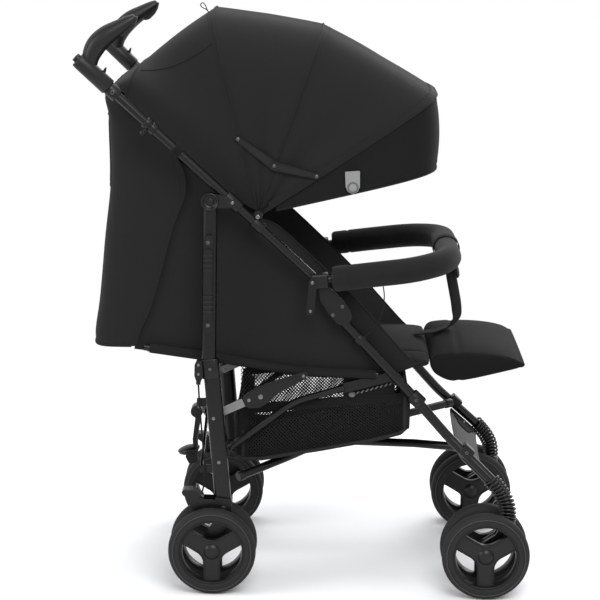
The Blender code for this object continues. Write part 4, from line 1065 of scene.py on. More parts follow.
def make_rear_leg(tag, side):
    px, pz = LEG_PIVOT
    y = side * REAR_LEG_HALF
    foot = [
        (0.0050, 0.1750), (0.0360, 0.1720), (0.0330, 0.1400), (0.0220, 0.1000), (0.0185, 0.0760),
        (0.0090, 0.0640), (-0.0090, 0.0640), (-0.0180, 0.0780), (-0.0150, 0.1020), (0.0010, 0.1300),
    ]
    piece = Piece("rear_leg_" + tag, "rear_frame", "rear_leg_" + tag, slot="tube")
    piece.put("tube", sweep([(px, y, pz), (-0.0080, y, 0.4300)], box_outline(0.020, 0.026, 0.0085, 6)),
              sweep([(-0.0045, y, 0.4250), (0.0195, y, 0.1550)], box_outline(0.020, 0.030, 0.0088, 6)),
              boss(px, pz, 0.0145, y - side * 0.0100, y + side * 0.0100, 0.0008, 40))
    yc = y + side * 0.0010
    piece.put("plastic", sweep([(-0.0080, yc, 0.4310), (-0.00785, yc, 0.4298), (-0.00315, yc, 0.3972),
                                (-0.0030, yc, 0.3960)], box_outline(0.0220, 0.0335, 0.0085, 6), (0, 1, 0),
                               [0.94, 1, 1, 0.94]),
              sweep([(-0.00770, yc, 0.4286), (-0.00760, yc, 0.4274)],
                    box_outline(0.0226, 0.0341, 0.0085, 6)),
              plate(rounded(foot, 0.006, 5), y - 0.0160, y + 0.0160, 0.0022, 3),
              plate(rounded([(0.0080, 0.1700), (0.0330, 0.1680), (0.0300, 0.1440), (0.0070, 0.1340)],
                            0.004), y - 0.0166, y + 0.0166, 0.0006),
              boss(0, AXLE_Z, 0.0120, y - 0.0174, y + 0.0174, 0.0008))
    piece.put("link", boss(0, AXLE_Z, 0.0040, y - 0.0425, y + 0.0425, 0.0006, 16),
              boss(*LINK_PIVOT, 0.0030, y - side * 0.004, side * (LEG_INNER - 0.0052), 0.0004, 16))
    piece.ride()
    out = (0, side, 0)
    rivet("rear_frame", "rivet", (0.001, y + side * 0.0100, 0.322), out, 1.0)
    rivet("rear_frame", "rivet", (0.011, y + side * 0.0100, 0.240), out, 1.0)
    rivet("rear_frame", "screw", (-0.0055, y + side * 0.0118, 0.4135), out, 0.9)
    rivet("rear_frame", "screw", (0.0200, y + side * 0.0165, 0.1560), out, 1.1)


def make_rear_cross(tag, side, depth):
    reach = LEG_INNER - 0.0006
    back = -0.0220 - depth
    ends = [(back, -side * reach, 0.2220), (back, side * reach, 0.3470)]
    piece = Piece("rear_cross_bar_" + tag, "rear_frame", "rear_cross_bar_" + tag, slot="tube")
    piece.put("tube", sweep(ends, box_outline(0.0150, 0.0050, 0.0012), (0, 0, 1)))
    for x, y, z in ends:
        sign = 1 if y > 0 else -1
        outline = [(x - 0.0030, z - 0.0075), (-0.0010, z - 0.0075), (-0.0010, z + 0.0075),
                   (x - 0.0030, z + 0.0075)]
        piece.put("tube", plate(rounded(outline, 0.002, 3), y - sign * 0.0045, y, 0.0005))
    piece.ride()
    for x, y, z in ends:
        sign = 1 if y > 0 else -1
        rivet("rear_frame", "rivet", (-0.0100, y - sign * 0.0043, z), (0, -sign, 0), 0.8)


# Wheels: foam tyre, deep rim and three broad spokes
def make_wheel(name, x, y, outward):
    centre = Vector((x, y, AXLE_Z))

    def spin(profile, count=96):
        return lathe([(r, d * outward) for r, d in profile], centre, (0, 1, 0), count)

    tyre = [(0.0588, -0.0125), (0.0588, 0.0125), (0.0600, 0.0148), (0.0622, 0.0155), (0.0660, 0.0154),
            (0.0690, 0.0150), (0.0696, 0.0143), (0.0703, 0.0148), (0.0740, 0.0132), (0.0772, 0.0104),
            (0.0790, 0.0064), (0.0799, 0.0020), (0.0800, 0.0)]
    tyre += [(r, -d) for r, d in tyre[2:-1][::-1]]
    rim = [
        (0.0592, -0.0126), (0.0592, 0.0128), (0.0588, 0.0136), (0.0578, 0.0139), (0.0566, 0.0134),
        (0.0560, 0.0122), (0.0545, 0.0050), (0.0538, -0.0010), (0.0545, -0.0060), (0.0560, -0.0122),
        (0.0566, -0.0134), (0.0580, -0.0137),
    ]
    hub = [(0.0, -0.0120), (0.0110, -0.0150), (0.0122, -0.0150), (0.0134, -0.0120), (0.0146, -0.0036),
           (0.0130, 0.0030), (0.0, 0.0040)]
    dome = [(0.0, 0.0128), (0.0050, 0.0125), (0.0095, 0.0112), (0.0140, 0.0080), (0.0160, 0.0050),
            (0.0, 0.0040)]
    piece = Piece(name, name, name, slot="tyre")
    piece.put("tyre", spin(tyre, 128))
    piece.put("rim", spin(rim), spin(hub, 48), spin(dome[::-1], 48))

    def spot(turn, a, b):
        out = Vector((math.cos(turn), math.sin(turn)))
        p = out * a + Vector((-out.y, out.x)) * b
        return (centre.x + p.x, centre.z + p.y)

    # One moulded star: three spokes with wide fillets between them and a raised edge along each side
    star, radii = [], []
    for k in range(3):
        turn = math.radians(-90 + 120 * k)
        star += [spot(turn, 0.0564, -0.0148), spot(turn, 0.0564, 0.0148),
                 spot(turn + math.radians(60), 0.0176, 0.0)]
        radii += [0.0, 0.0, 0.030]
        ridge = [spot(turn, 0.0556, 0.0136), spot(turn, 0.0400, 0.0136),
                 spot(turn + math.radians(60), 0.0162, 0.0),
                 spot(turn + math.radians(120), 0.0400, -0.0136),
                 spot(turn + math.radians(120), 0.0556, -0.0136)]
        line = turned_path([(x, y + outward * 0.0062, z) for x, z in ridge], [0.1, 0.8, 0.1], 12)
        piece.put("rim", sweep(line, round_outline(0.0019, 10), (0, 1, 0)))
    piece.put("rim", plate(rounded(star, radii, 12), y - outward * 0.0040, y + outward * 0.0066, 0.0010))
    ring = []
    for k in range(181):
        turn = 2 * math.pi * k / 180
        ring.append((centre + Vector((0.0712 * math.cos(turn), outward * 0.0145, 0.0712 * math.sin(turn))),
                     Vector((0, outward, 0))))
    repeats(name + "_mould_marks", name, "stitch", "mould_mark", stitch_row(ring, 0.0060), 1.8)
    piece.ride()


def make_fork(tag, side):
    y = side * CASTER[1]
    x, back = CASTER[0], FRONT_AXLE_X
    body = [
        (x + 0.0135, 0.1300), (x + 0.0130, 0.1020), (x - 0.0020, 0.0800), (back + 0.0110, 0.0650),
        (back - 0.0070, 0.0650), (back - 0.0140, 0.0780), (back - 0.0120, 0.0930), (x - 0.0230, 0.1130),
        (x - 0.0135, 0.1300),
    ]
    piece = Piece("caster_fork_" + tag, "caster_" + tag, "caster_fork_" + tag, slot="plastic")
    ring = [(0.0070, 0.1065), (0.0070, 0.1370), (0.0110, 0.1370), (0.0128, 0.1362), (0.0136, 0.1345),
            (0.0140, 0.1290), (0.0140, 0.0985), (0.0130, 0.0980), (0.0, 0.0980), (0.0, 0.1050),
            (0.0070, 0.1050)]
    piece.put("plastic", lathe(ring, (x, y, 0), (0, 0, 1), 48),
              lathe([(0.0120, 0.1296), (0.0145, 0.1296), (0.0147, 0.1304), (0.0147, 0.1322),
                     (0.0143, 0.1330), (0.0120, 0.1330)], (x, y, 0), (0, 0, 1), 48),
              plate(rounded(body, 0.006, 5), y - 0.0120, y - 0.0072, 0.0016),
              plate(rounded(body, 0.006, 5), y + 0.0072, y + 0.0120, 0.0016),
              plate(rounded([(px + (0.513 - px) * 0.12, pz + (0.096 - pz) * 0.12)
                             for px, pz in body if pz < 0.1290], 0.005, 4), y - 0.0100, y + 0.0100, 0.0010),
              boss(back, AXLE_Z, 0.0110, y - 0.0174, y + 0.0174, 0.0008))
    piece.put("link", boss(back, AXLE_Z, 0.0040, y - 0.0425, y + 0.0425, 0.0006, 16))
    piece.ride()


def make_link(tag, side):
    ax, az = LINK_PIVOT
    cx, cz = LINK_END
    along = Vector((cx - ax, cz - az)).normalized()
    across = Vector((-along.y, along.x))
    link_y = LEG_INNER - 0.0010

    def spot(a, b):
        return (ax + along.x * a + across.x * b, az + along.y * a + across.y * b)

    strip = [spot(-0.0080, -0.0070), spot(-0.0080, 0.0070), spot(0.0590, 0.0080), spot(0.0590, -0.0080)]
    strut = Piece("lock_strut_" + tag, "side_link_" + tag, "lock_strut_" + tag, slot="steel")
    strut.put("link", plate(rounded(strip, [0.007, 0.007, 0.001, 0.001], 6), side * (link_y - 0.0040),
                            side * (link_y - 0.0010), 0.0005))
    rib = [spot(0.006, -0.0022), spot(0.006, 0.0022), spot(0.056, 0.0022), spot(0.056, -0.0022)]
    strut.put("link",
              plate(rounded(rib, 0.002, 4), side * (link_y - 0.0012), side * (link_y - 0.0004), 0.0003))
    strut.ride()
    shell = [
        spot(0.0596, -0.0080), spot(0.0640, -0.0140), spot(0.0820, -0.0210), spot(0.1020, -0.0185),
        spot(0.1200, -0.0110), spot(0.1800, -0.0070), spot(0.1880, -0.0010), spot(0.1860, 0.0060),
        spot(0.1780, 0.0080), spot(0.1500, 0.0100), spot(0.1200, 0.0145), spot(0.0900, 0.0150),
        spot(0.0680, 0.0120), spot(0.0596, 0.0060),
    ]
    arm = Piece("knuckle_arm_" + tag, "side_link_" + tag, "knuckle_arm_" + tag, slot="plastic")
    arm.put("plastic",
            plate(rounded(shell, 0.006, 4), side * (link_y - 0.0046), side * (link_y - 0.0008), 0.0012),
            plate(rounded([(x + (spot(0.095, 0)[0] - x) * 0.14, z + (spot(0.095, -0.002)[1] - z) * 0.20)
                           for x, z in shell], 0.005, 4), side * (link_y - 0.0012), side * link_y, 0.0006))
    arm.ride()
    body, out = "side_link_" + tag, (0, side, 0)
    for a, b, size in ((0.0700, 0.0, 1.0), (0.0920, -0.0030, 1.4), (0.1790, 0.0, 0.9)):
        x, z = spot(a, b)
        rivet(body, "rivet", (x, side * (link_y - 0.0002), z), out, size)


def make_handle(tag, side):
    top, end = flip(TUBE_TOP, side), flip(TUBE_END, side)
    up = (top - end).normalized()
    base = top + up * 0.0004
    sleeve_end = base + up * HANDLE_SLEEVE
    y = base.y + side * 0.002
    spine = curved([(-0.2150, y, 0.9560), (-0.2130, y, 0.9760), (-0.2030, y, 0.9960), (-0.1860, y, 1.0125),
                    (-0.1650, y, 1.0260), (-0.1460, y, 1.0380), (-0.1365, y, 1.0440)], 6)
    sizes = (0.0120, 0.0165, 0.0190, 0.0180, 0.0145, 0.0105, 0.0070)
    girth = [v.x for v in curved([(size, 0, 0) for size in sizes], 6)]
    spine = [spine[0] - (spine[1] - spine[0]) * 0.6, *spine, spine[-1] + (spine[-1] - spine[-2]) * 0.7,
             spine[-1] + (spine[-1] - spine[-2]) * 1.1]
    girth = [girth[0] * 0.7, *girth, girth[-1] * 0.72, girth[-1] * 0.35]
    piece = Piece("handle_grip_" + tag, "handle_" + tag, "handle_grip_" + tag, slot="grip", sharp=50)
    piece.put("grip", sweep(spine, round_outline(1.0, 40, 1.02, 0.95), (0, 1, 0), girth))
    end = HANDLE_SLEEVE
    sleeve = [(0.0, 0.0), (0.0142, 0.0), (0.0150, 0.0010), (0.0150, end - 0.010), (0.0146, end - 0.002),
              (0.0136, end), (0.0086, end), (0.0086, end - 0.0090), (0.0, end - 0.0090)]
    piece.put("grip", lathe(sleeve, base, up, 48))
    fin = [(-0.1312, 1.0465), (-0.1345, 1.0330), (-0.1400, 1.0230), (-0.1500, 1.0130), (-0.1600, 1.0100),
           (-0.1660, 1.0180), (-0.1500, 1.0340), (-0.1400, 1.0440)]
    piece.put("grip", plate(rounded(fin, 0.006), y - 0.0058, y + 0.0058, 0.0036, 4))
    catch = [(-0.2010, 0.9395), (-0.1965, 0.9450), (-0.1890, 0.9560), (-0.1864, 0.9572), (-0.1872, 0.9500),
             (-0.1915, 0.9375)]
    piece.put("plastic", plate(rounded(catch, 0.0015), base.y - 0.0035, base.y + 0.0035, 0.0008))
    for turn in (math.radians(38), math.radians(142)):
        ridge = []
        for before, here, after, size in zip(spine[3:-3], spine[4:-2], spine[5:-1], girth[4:-2]):
            back = (after - before).normalized().cross(Vector((0, 1, 0)))
            ridge.append(here + size * (0.99 * math.cos(turn) * Vector((0, side, 0))
                                        + 0.96 * math.sin(turn) * back))
        piece.put("grip", sweep(ridge, round_outline(0.0011, 8), (0, 1, 0)))
    piece.ride()
    press = Piece("handle_button_" + tag, "button_" + tag, "handle_button_" + tag, slot="plastic")
    cap = [(0.0, -0.0048), (0.0080, -0.0048), (0.0080, 0.0046), (0.0072, 0.0060), (0.0050, 0.0064),
           (0.0, 0.0060)]
    press.put("plastic", lathe(cap, sleeve_end + up * 0.0002, up, 40))
    press.ride()


for tag, side in SIDES:
    make_push_tube(tag, side)
    make_hub(tag, side)
    make_front_leg(tag, side)
    make_spring(tag, side)
    make_side_frame(tag, side)
    make_rear_leg(tag, side)
    make_fork(tag, side)
    make_link(tag, side)
    make_handle(tag, side)
    for place, x, track in WHEEL_PAIRS:
        for spot, step in (("outer", 1), ("inner", -1)):
            y = side * track / 2 + side * step * WHEEL_OFFSET
            make_wheel("wheel_%s_%s_%s" % (place, spot, tag), x, y, side * step)
make_lower_cross("a", -1, 0.0086)
make_lower_cross("b", 1, -0.0086)
make_rear_cross("a", 1, 0.0)
make_rear_cross("b", -1, 0.0056)

# Canopy: bows, cloth, stays
SQUARENESS = 5.0
BOW_ANGLES = {"rear": 104.0, "middle": 71.0, "front": 33.4, "visor": 13.2}
BOW_REACH = {"rear": 0.367, "middle": 0.345, "front": 0.382, "visor": 0.332}
CANOPY_START = 0.10
CLOTH_START = 0.02
REAR_FOOT = -0.1640
BACK_TOP = (-0.1460, 0.9450)
BACK_TOP_HALF = CLOTH_HALF - 0.006
PIPING_LIFT = 0.0004
REAR_ROWS = 16
PANEL_ROWS = 18
VISOR_ROWS = 12
BOW_FOOT = {"rear": 0.1720, "middle": 0.1755, "front": 0.1790}
PIVOT = Vector((CANOPY_PIVOT[0], 0, CANOPY_PIVOT[1]))


def bow_top(name):
    angle = math.radians(BOW_ANGLES[name])
    return PIVOT + BOW_REACH[name] * Vector((math.cos(angle), 0, math.sin(angle)))


def arch(foot, top, half_width, start=0.0, steps=56):
    foot, top = Vector((foot[0], 0, foot[1])), Vector((top[0], 0, top[1]))
    power = 2.0 / SQUARENESS
    first = math.asin(max(start, 1e-9) ** (1 / power)) if start else 0.0
    points = []
    for i in range(steps + 1):
        t = between(first, math.pi - first, i / steps)
        rise = abs(math.sin(t)) ** power
        y = -half_width * math.copysign(abs(math.cos(t)) ** power, math.cos(t))
        points.append(foot.lerp(top, rise) + Vector((0, y, 0)))
    return spread(points, steps)


def flat_top(name):
    top = bow_top(name)
    return (top.x, top.z)


def make_bow(name, body):
    foot_y = BOW_FOOT[name]
    angle = math.radians(BOW_ANGLES[name])
    out = Vector((math.cos(angle), 0, math.sin(angle)))
    reach = BOW_REACH[name] - 0.0066
    foot = Vector((0, foot_y, 0))
    curve = arch((0, 0), (0, reach), foot_y + 0.0040, 0.24)
    points = [PIVOT - foot, PIVOT + out * 0.040 - foot]
    points += [PIVOT + out * p.z + Vector((0, p.y, 0)) for p in curve if p.z > 0.075]
    points += [PIVOT + out * 0.040 + foot, PIVOT + foot]
    across = Vector((-math.sin(angle), 0, math.cos(angle)))
    piece = Piece(name + "_bow", body, name + "_bow", slot="plastic")
    piece.put("plastic", sweep(points, box_outline(0.0100, 0.0026, 0.0009, 2), across))
    for side in (-1, 1):
        piece.put("plastic",
                  boss(*CANOPY_PIVOT, 0.0080, side * (foot_y - 0.0016), side * (foot_y + 0.0015), 0.0005))
    piece.ride()


for name, body in (("rear", "front_frame"), ("middle", "canopy_middle_bow"), ("front", "canopy_front_bow")):
    make_bow(name, body)


def canopy_rows(first, second, crown, stations, start=CANOPY_START):
    a = arch(CANOPY_PIVOT, flat_top(first), CLOTH_HALF, start)
    b = arch(CANOPY_PIVOT, flat_top(second), CLOTH_HALF, start)
    rows = []
    for i in range(stations + 1):
        share = i / stations
        row = []
        for p, q in zip(a, b):
            point = p.lerp(q, share)
            flat = Vector((point.x - PIVOT.x, 0, point.z - PIVOT.z))
            swell = crown * 4 * share * (1 - share) * (flat.length / 0.36) ** 2
            row.append(point + flat.normalized() * swell)
        rows.append(row)
    return rows


def puckers(strength, waves, phase):
    """Folds that run from bow to bow, deepest low on the sides where the cloth gathers."""
    def folds(i, j, point):
        low = max(0.0, 1 - (math.hypot(point.x - PIVOT.x, point.z - PIVOT.z)) / 0.34)
        side = abs(point.y) / CLOTH_HALF
        between_bows = math.sin(math.pi * i)
        ripple = math.sin(waves * math.pi * i + phase
                          + 2.2 * noise(Vector((point.x * 6, point.y * 3, point.z * 6))))
        slack = noise(Vector((point.x * 9 + phase, point.y * 7, point.z * 9)))
        return (-strength * (0.25 + 0.75 * low) * side * (0.5 + 0.5 * ripple) * between_bows
                - 0.0012 * (0.6 + slack) * between_bows)
    return folds


def band(line, before, after, thick):
    """A flat hem along a line of (point, normal), from before to after across it."""
    bm, rings = bmesh.new(), []
    points = [point for point, normal in line]
    for k, (point, normal) in enumerate(line):
        wide = run_at(points, k).cross(normal).normalized()
        corners = [(before, -0.0004), (before, thick * 0.7), (before * 0.8 + after * 0.2, thick),
                   (after, thick), (after, -0.0004)]
        rings.append([bm.verts.new(point + wide * a + normal * b) for a, b in corners])
    skin(bm, rings)
    bmesh.ops.recalc_face_normals(bm, faces=bm.faces)
    return bm


def canopy_rear():
    """Cloth from behind the push tubes up to the rear bow, with a curved seam on each side."""
    near = arch(CANOPY_PIVOT, flat_top("rear"), CLOTH_HALF, CLOTH_START)
    far = arch((REAR_FOOT, tube_at(REAR_FOOT).z - 0.0160), BACK_TOP, BACK_TOP_HALF)
    last = len(near) - 1
    rows = []
    for i in range(REAR_ROWS + 1):
        share = i / REAR_ROWS
        lift = Vector((-0.0008 * math.sin(math.pi * share), 0, 0.006 * math.sin(math.pi * share)))
        row = [p.lerp(q, share) + lift for p, q in zip(near, far)]
        for j, weight in ((0, 1.0), (1, 0.6), (2, 0.25)):
            for k in (j, last - j):
                row[k] += Vector((-0.7, 0, -0.7)) * 0.015 * weight * (1 - share) * min(1.0, 6 * share)
        rows.append(row)
    cloth = Sheet("canopy_rear", rows, "canopy", (-0.3, 0, 1), shape=puckers(0.004, 3, 0.4))
    cloth.ride("front_frame", ["canopy_rear"], "stretched", ["rear_bow"])
    trim("canopy_rear_piping", "front_frame", piping(cloth.row(0, PIPING_LIFT)),
         piping(cloth.row(REAR_ROWS, HEM_LIFT)))
    for tag, side in SIDES:
        line = []
        for i in range(1, REAR_ROWS):
            j = 17.8 - 5.5 * i / REAR_ROWS
            k = int(j)
            places = [(i, last - k), (i, last - 1 - k)] if side > 0 else [(i, k), (i, k + 1)]
            (spot, facing), (beyond, _) = cloth.line(places, 0.0003)
            line.append((spot.lerp(beyond, j - k), facing))
        trim("canopy_rear_seam_" + tag, "front_frame", piping(line, 0.0011))
    sew("canopy_rear_stitches", "front_frame", [cloth.row(1), cloth.row(REAR_ROWS - 1)])


def canopy_panel(name, first, second, end_body, phase, stitched):
    """Cloth from bow to bow, which follows both of them. The front one has a flat hem."""
    rows = canopy_rows(first, second, 0.004, PANEL_ROWS, CLOTH_START)
    cloth = Sheet("canopy_" + name, rows, "canopy", (0.5, 0, 1), shape=puckers(0.005, 3, phase))
    angle = math.radians((BOW_ANGLES[first] + BOW_ANGLES[second]) / 2)
    across = Vector((math.sin(angle), 0, -math.cos(angle)))
    reach = 0.19 * math.sin(math.radians(abs(BOW_ANGLES[first] - BOW_ANGLES[second]) / 2))
    start, end = (at(*(PIVOT + across * s)) for s in (-reach, reach))
    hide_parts("canopy_" + name)
    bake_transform(cloth.made)
    cloth.declare()
    cords = [piping(cloth.row(PANEL_ROWS, PIPING_LIFT))]
    if name == "front":
        hem = cloth.row(PANEL_ROWS, HEM_LIFT)
        run = hem[1][0] - hem[0][0]
        ahead = 1 if run.cross(hem[0][1]).x > 0 else -1
        cords.append(band(hem, -0.0090 * ahead, 0.0045 * ahead, 0.0014))
    trim("canopy_%s_piping" % name, end_body, *cords)
    stitches = sew("canopy_%s_stitches" % name, None, [cloth.row(i) for i in stitched])
    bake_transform(stitches)


def canopy_visor():
    """The visor below the front bow, in the canopy cloth painted darker as painted shade."""
    rows = canopy_rows("front", "visor", 0.008, VISOR_ROWS)
    cloth = Sheet("visor", rows, "visor", (1, 0, 0.2), shape=puckers(0.003, 2, 0.2))
    cloth.ride("canopy_front_bow", ["visor"], "hung", ["front_bow"])
    trim("visor_piping", "canopy_front_bow", piping(cloth.row(VISOR_ROWS, HEM_LIFT, 0, 0)))
    sew("visor_stitches", "canopy_front_bow", [cloth.row(1), cloth.row(VISOR_ROWS - 1)])


canopy_rear()
canopy_panel("middle", "rear", "middle", "canopy_middle_bow", 1.1, (PANEL_ROWS - 1,))
canopy_panel("front", "middle", "front", "canopy_front_bow", 2.3, (PANEL_ROWS - 1, 1))
canopy_visor()


def make_tag():
    """A grey tab with a round snap on the near hem of the visor, and a loop of cord on the rear seam."""
    y = -(CLOTH_HALF + 0.0012)
    outline = [(0.2336, 0.7716), (0.2350, 0.7450), (0.2388, 0.7358), (0.2478, 0.7312), (0.2570, 0.7360),
               (0.2606, 0.7450), (0.2602, 0.7736)]
    tag = Piece("hem_tag", "canopy_front_bow", slot="cloth")
    tag.put("tag", plate(rounded(outline, [0.002, 0.004, 0.006, 0.008, 0.006, 0.004, 0.002], 5), y - 0.0014,
                         y, 0.0005))
    tag.put("ring", lathe([(0.0072, -0.0004), (0.0074, 0.0008), (0.0086, 0.0012), (0.0100, 0.0008),
                           (0.0102, -0.0004)], (0.2480, y - 0.0012, 0.7432), (0, -1, 0), 48))
    tag.put("tag", lathe([(0.0, -0.0004), (0.0, 0.0007), (0.0040, 0.0007), (0.0070, 0.0003),
                          (0.0071, -0.0004)], (0.2480, y - 0.0012, 0.7432), (0, -1, 0), 40))
    tag.ride()
    line = curved([(-0.0205, 0.001, 1.0400), (-0.0250, 0.001, 1.0455), (-0.0330, 0.0012, 1.0495),
                   (-0.0362, 0, 1.0545), (-0.0325, -0.0008, 1.0580), (-0.0278, -0.0012, 1.0545),
                   (-0.0245, -0.001, 1.0470), (-0.0215, -0.001, 1.0405)], 6)
    cord = Piece("canopy_cord_loop", "front_frame", slot="cloth")
    cord.put("webbing", sweep(line, round_outline(0.0009, 10), (0, 1, 0)))
    cord.ride()


make_tag()


def make_stays(tag, side):
    a, b, c = Vector((0.0420, 0.8280)), Vector((0.1070, 0.7810)), Vector((0.1830, 0.7630))
    for name, start, end, layer in (("upper", a, b, 0.0), ("lower", c, b, 0.0036)):
        along = (end - start).normalized()

        def outline(width, inset):
            points = []
            for centre, direction, share in ((start + along * inset, -along, 0.85),
                                             (end - along * inset, along, 1.5)):
                for turn in range(-90, 91, 15):
                    t = math.radians(turn)
                    spot = centre + width * share * (direction * math.cos(t)
                                                     + Vector((-direction.y, direction.x)) * math.sin(t))
                    points.append(tuple(spot))
            return points

        y0 = side * (CLOTH_HALF + 0.0002 + layer)
        body = "stay_%s_%s" % (name, tag)
        piece = Piece(body, body, body, slot="plastic")
        piece.put("plastic", plate(outline(0.0056, 0.0), y0, side * (CLOTH_HALF + 0.0026 + layer), 0.0007))
        piece.put("rim", plate(outline(0.0030, 0.0110), y0 + side * 0.0018,
                               side * (CLOTH_HALF + 0.0030 + layer), 0.0004))
        piece.ride()
        rivet(body, "pin", (start.x, side * (CLOTH_HALF + 0.0024 + layer), start.y), (0, side, 0), 1.0)
        if layer:
            rivet(body, "pin", (end.x, side * (CLOTH_HALF + 0.0024 + layer), end.y), (0, side, 0), 0.9)


for tag, side in SIDES:
    make_stays(tag, side)


# Cabin: side panels, back and its pocket
SIDE_ROWS = 30
PANEL_TOP = [(-0.0660, 0.7850), (0.0000, 0.7380), (0.0790, 0.6840), (0.1230, 0.6610), (0.2510, 0.5400),
             (0.3540, 0.4280), (0.3740, 0.4185)]
PANEL_LOW = [(-0.1470, 0.4380), (-0.0600, 0.4275), (0.0290, 0.4165), (0.1560, 0.4040), (0.2390, 0.3920),
             (0.3210, 0.3985), (0.3755, 0.4165)]
PANEL_BACK = [(-0.0660, 0.7850), (-0.0545, 0.7600), (-0.0530, 0.7310), (-0.0770, 0.6600), (-0.1120, 0.5300),
              (-0.1400, 0.4630), (-0.1470, 0.4380)]


def make_side_panel(tag, side):
    """The cabin's side, its folds slack in the middle and its inner face painted lighter: painted light where
    the canopy shades it.
    """
    count = 44
    top, low, back = (curved([(x, 0, z) for x, z in edge], 6)
                      for edge in (PANEL_TOP, PANEL_LOW, PANEL_BACK))
    top, low = spread(top, count), spread(low, count)
    total = lengths(back)[-1]
    rows = []
    for i in range(SIDE_ROWS + 1):
        share = i / SIDE_ROWS
        edge = along_line(back, share * total)
        straight = top[0].lerp(low[0], share)
        row = []
        for j, (p, q) in enumerate(zip(top, low)):
            point = p.lerp(q, share) + (edge - straight) * (1 - j / count) ** 2
            row.append(point + Vector((0, side * PANEL_HALF, 0)))
        rows.append(row)

    def folds(i, j, point):
        edge = min(1.0, 6 * min(i, 1 - i, j + 0.02, 1 - j))
        pull = noise(Vector((point.x * 7, side * 3, point.z * 7)))
        diagonal = math.sin((point.x * 0.75 + point.z) * 46 + 3 * pull)
        return -0.0008 + 0.0022 * edge * pull + 0.0007 * edge * diagonal * max(0.0, 0.4 + pull)

    cloth = Sheet("side_panel_" + tag, rows, "side", (0, side, 0), shape=folds)
    # The inward faces get a lighter copy of the side cloth: painted light in the shaded inside of the cabin.
    cloth.second_finish("inner", lambda face: face.normal.y * side < -0.4)
    cloth.ride("front_frame", ["side_panel_" + tag], "hung", ["seat_side_frame_" + tag])
    trim("side_panel_piping_" + tag, "front_frame", piping(cloth.row(0, HEM_LIFT, 2), 0.0018),
         piping(cloth.row(SIDE_ROWS, HEM_LIFT, 2), 0.0016))
    sew("side_panel_stitches_" + tag, "front_frame",
        [cloth.row(1, skip=2), cloth.row(SIDE_ROWS - 1, skip=2), cloth.column(2, skip=2, leave=2)])


for tag, side in SIDES:
    make_side_panel(tag, side)


def make_rear_panel():
    """The back of the cabin, wrapped round to the side panels. levels are (height, front edge, rear edge)."""
    levels = [
        (0.4440, -0.1420, -0.2235), (0.4700, -0.1370, -0.2260), (0.5300, -0.1120, -0.2190),
        (0.6600, -0.0770, -0.2060), (0.7310, -0.0530, -0.2000), (0.7850, -0.0660, -0.1980),
        (0.8600, -0.1200, -0.2000), (0.9060, -0.1700, -0.2030),
    ]
    half = PANEL_HALF + 0.0014 + 0.0004 + 0.0028
    rows = []
    count = 48
    for z, front, back in levels:
        row = []
        for i in range(count + 1):
            t = math.pi * i / count
            depth = abs(math.sin(t)) ** (2 / 6)
            y = -half * math.copysign(abs(math.cos(t)) ** (2 / 6), math.cos(t))
            row.append(Vector((between(front, back, depth), y, z)))
        rows.append(spread(row, count))
    lid = arch((-0.1500, 0.9080), BACK_TOP, BACK_TOP_HALF, 0.0, count)
    rows.append([p + Vector((-0.0020, 0, -0.0012)) for p in lid])
    rows = [list(row) for row in zip(*[curved(column, 6) for column in zip(*rows)])]

    def folds(i, j, point):
        middle = math.sin(math.pi * j) ** 0.5
        slack = noise(Vector((point.x * 8, point.y * 6, point.z * 5)))
        fold = math.sin(point.z * 34 + 4 * slack + 3 * point.y)
        edge = min(1.0, 8 * min(i, 1 - i, j, 1 - j))
        return edge * (-0.0022 + 0.0030 * slack + 0.0010 * fold * middle) - 0.0003

    cloth = Sheet("rear_panel", rows, "side", (-1, 0, 0), shape=folds)
    cloth.ride("front_frame", ["rear_panel"], "hung", ["push_tube_r", "push_tube_l"])
    height, last = len(cloth.outer) - 1, len(cloth.outer[0]) - 1
    lid_seam = height - 6
    cords = [piping(cloth.column(j, HEM_LIFT), 0.0018) for j in (0, last)]
    cords += [piping(cloth.row(0, HEM_LIFT), 0.0018), piping(cloth.row(lid_seam, 0.0003, 3, 3), 0.0014)]
    trim("rear_panel_piping", "front_frame", *cords)
    lines = [cloth.column(j, leave=7) for j in (1, last - 1)]
    lines += [cloth.row(i, skip=3, leave=3) for i in (1, lid_seam - 1, lid_seam + 1)]
    sew("rear_panel_stitches", "front_frame", lines)
    return cloth


def make_pocket(back):
    """A flat pocket on the upper back, with a bound mouth and stitches round the other three edges."""
    height, width = len(back.outer) - 1, len(back.outer[0]) - 1
    rows = range(int(height * 0.52), int(height * 0.78))
    columns = range(int(width * 0.30), int(width * 0.70) + 1)
    top, last = len(rows) - 1, len(columns) - 1
    grid = []
    for i in rows:
        line = []
        for j in columns:
            a, b = (i - rows[0]) / top, (j - columns[0]) / last
            rise = 0.0014 + 0.0016 * math.sin(math.pi * b) ** 0.5 * a
            line.append(back.outer[i][j] + back.facing[i][j] * rise)
        grid.append(line)
    pocket = Sheet("back_pocket", grid, "side", (-1, 0, 0), thick=0.0009)
    pocket.ride("front_frame", [], "hung", ["rear_panel"])
    trim("back_pocket_binding", "front_frame", piping(pocket.row(top, HEM_LIFT, 0, 0), 0.0014))
    rim = [(i, 0) for i in range(top, 0, -1)] + [(0, j) for j in range(last + 1)]
    rim += [(i, last) for i in range(1, top + 1)]
    inset = [(min(max(i, 1), top - 1), min(max(j, 1), last - 1)) for i, j in rim]
    inset = [spot for before, spot in zip([None, *inset], inset) if spot != before]
    sew("back_pocket_stitches", "front_frame", [pocket.line(inset)])


make_pocket(make_rear_panel())


# Padded seat, backrest and footrest
LAST_FRAME = 20
SEAM_DEPTH = 0.0016


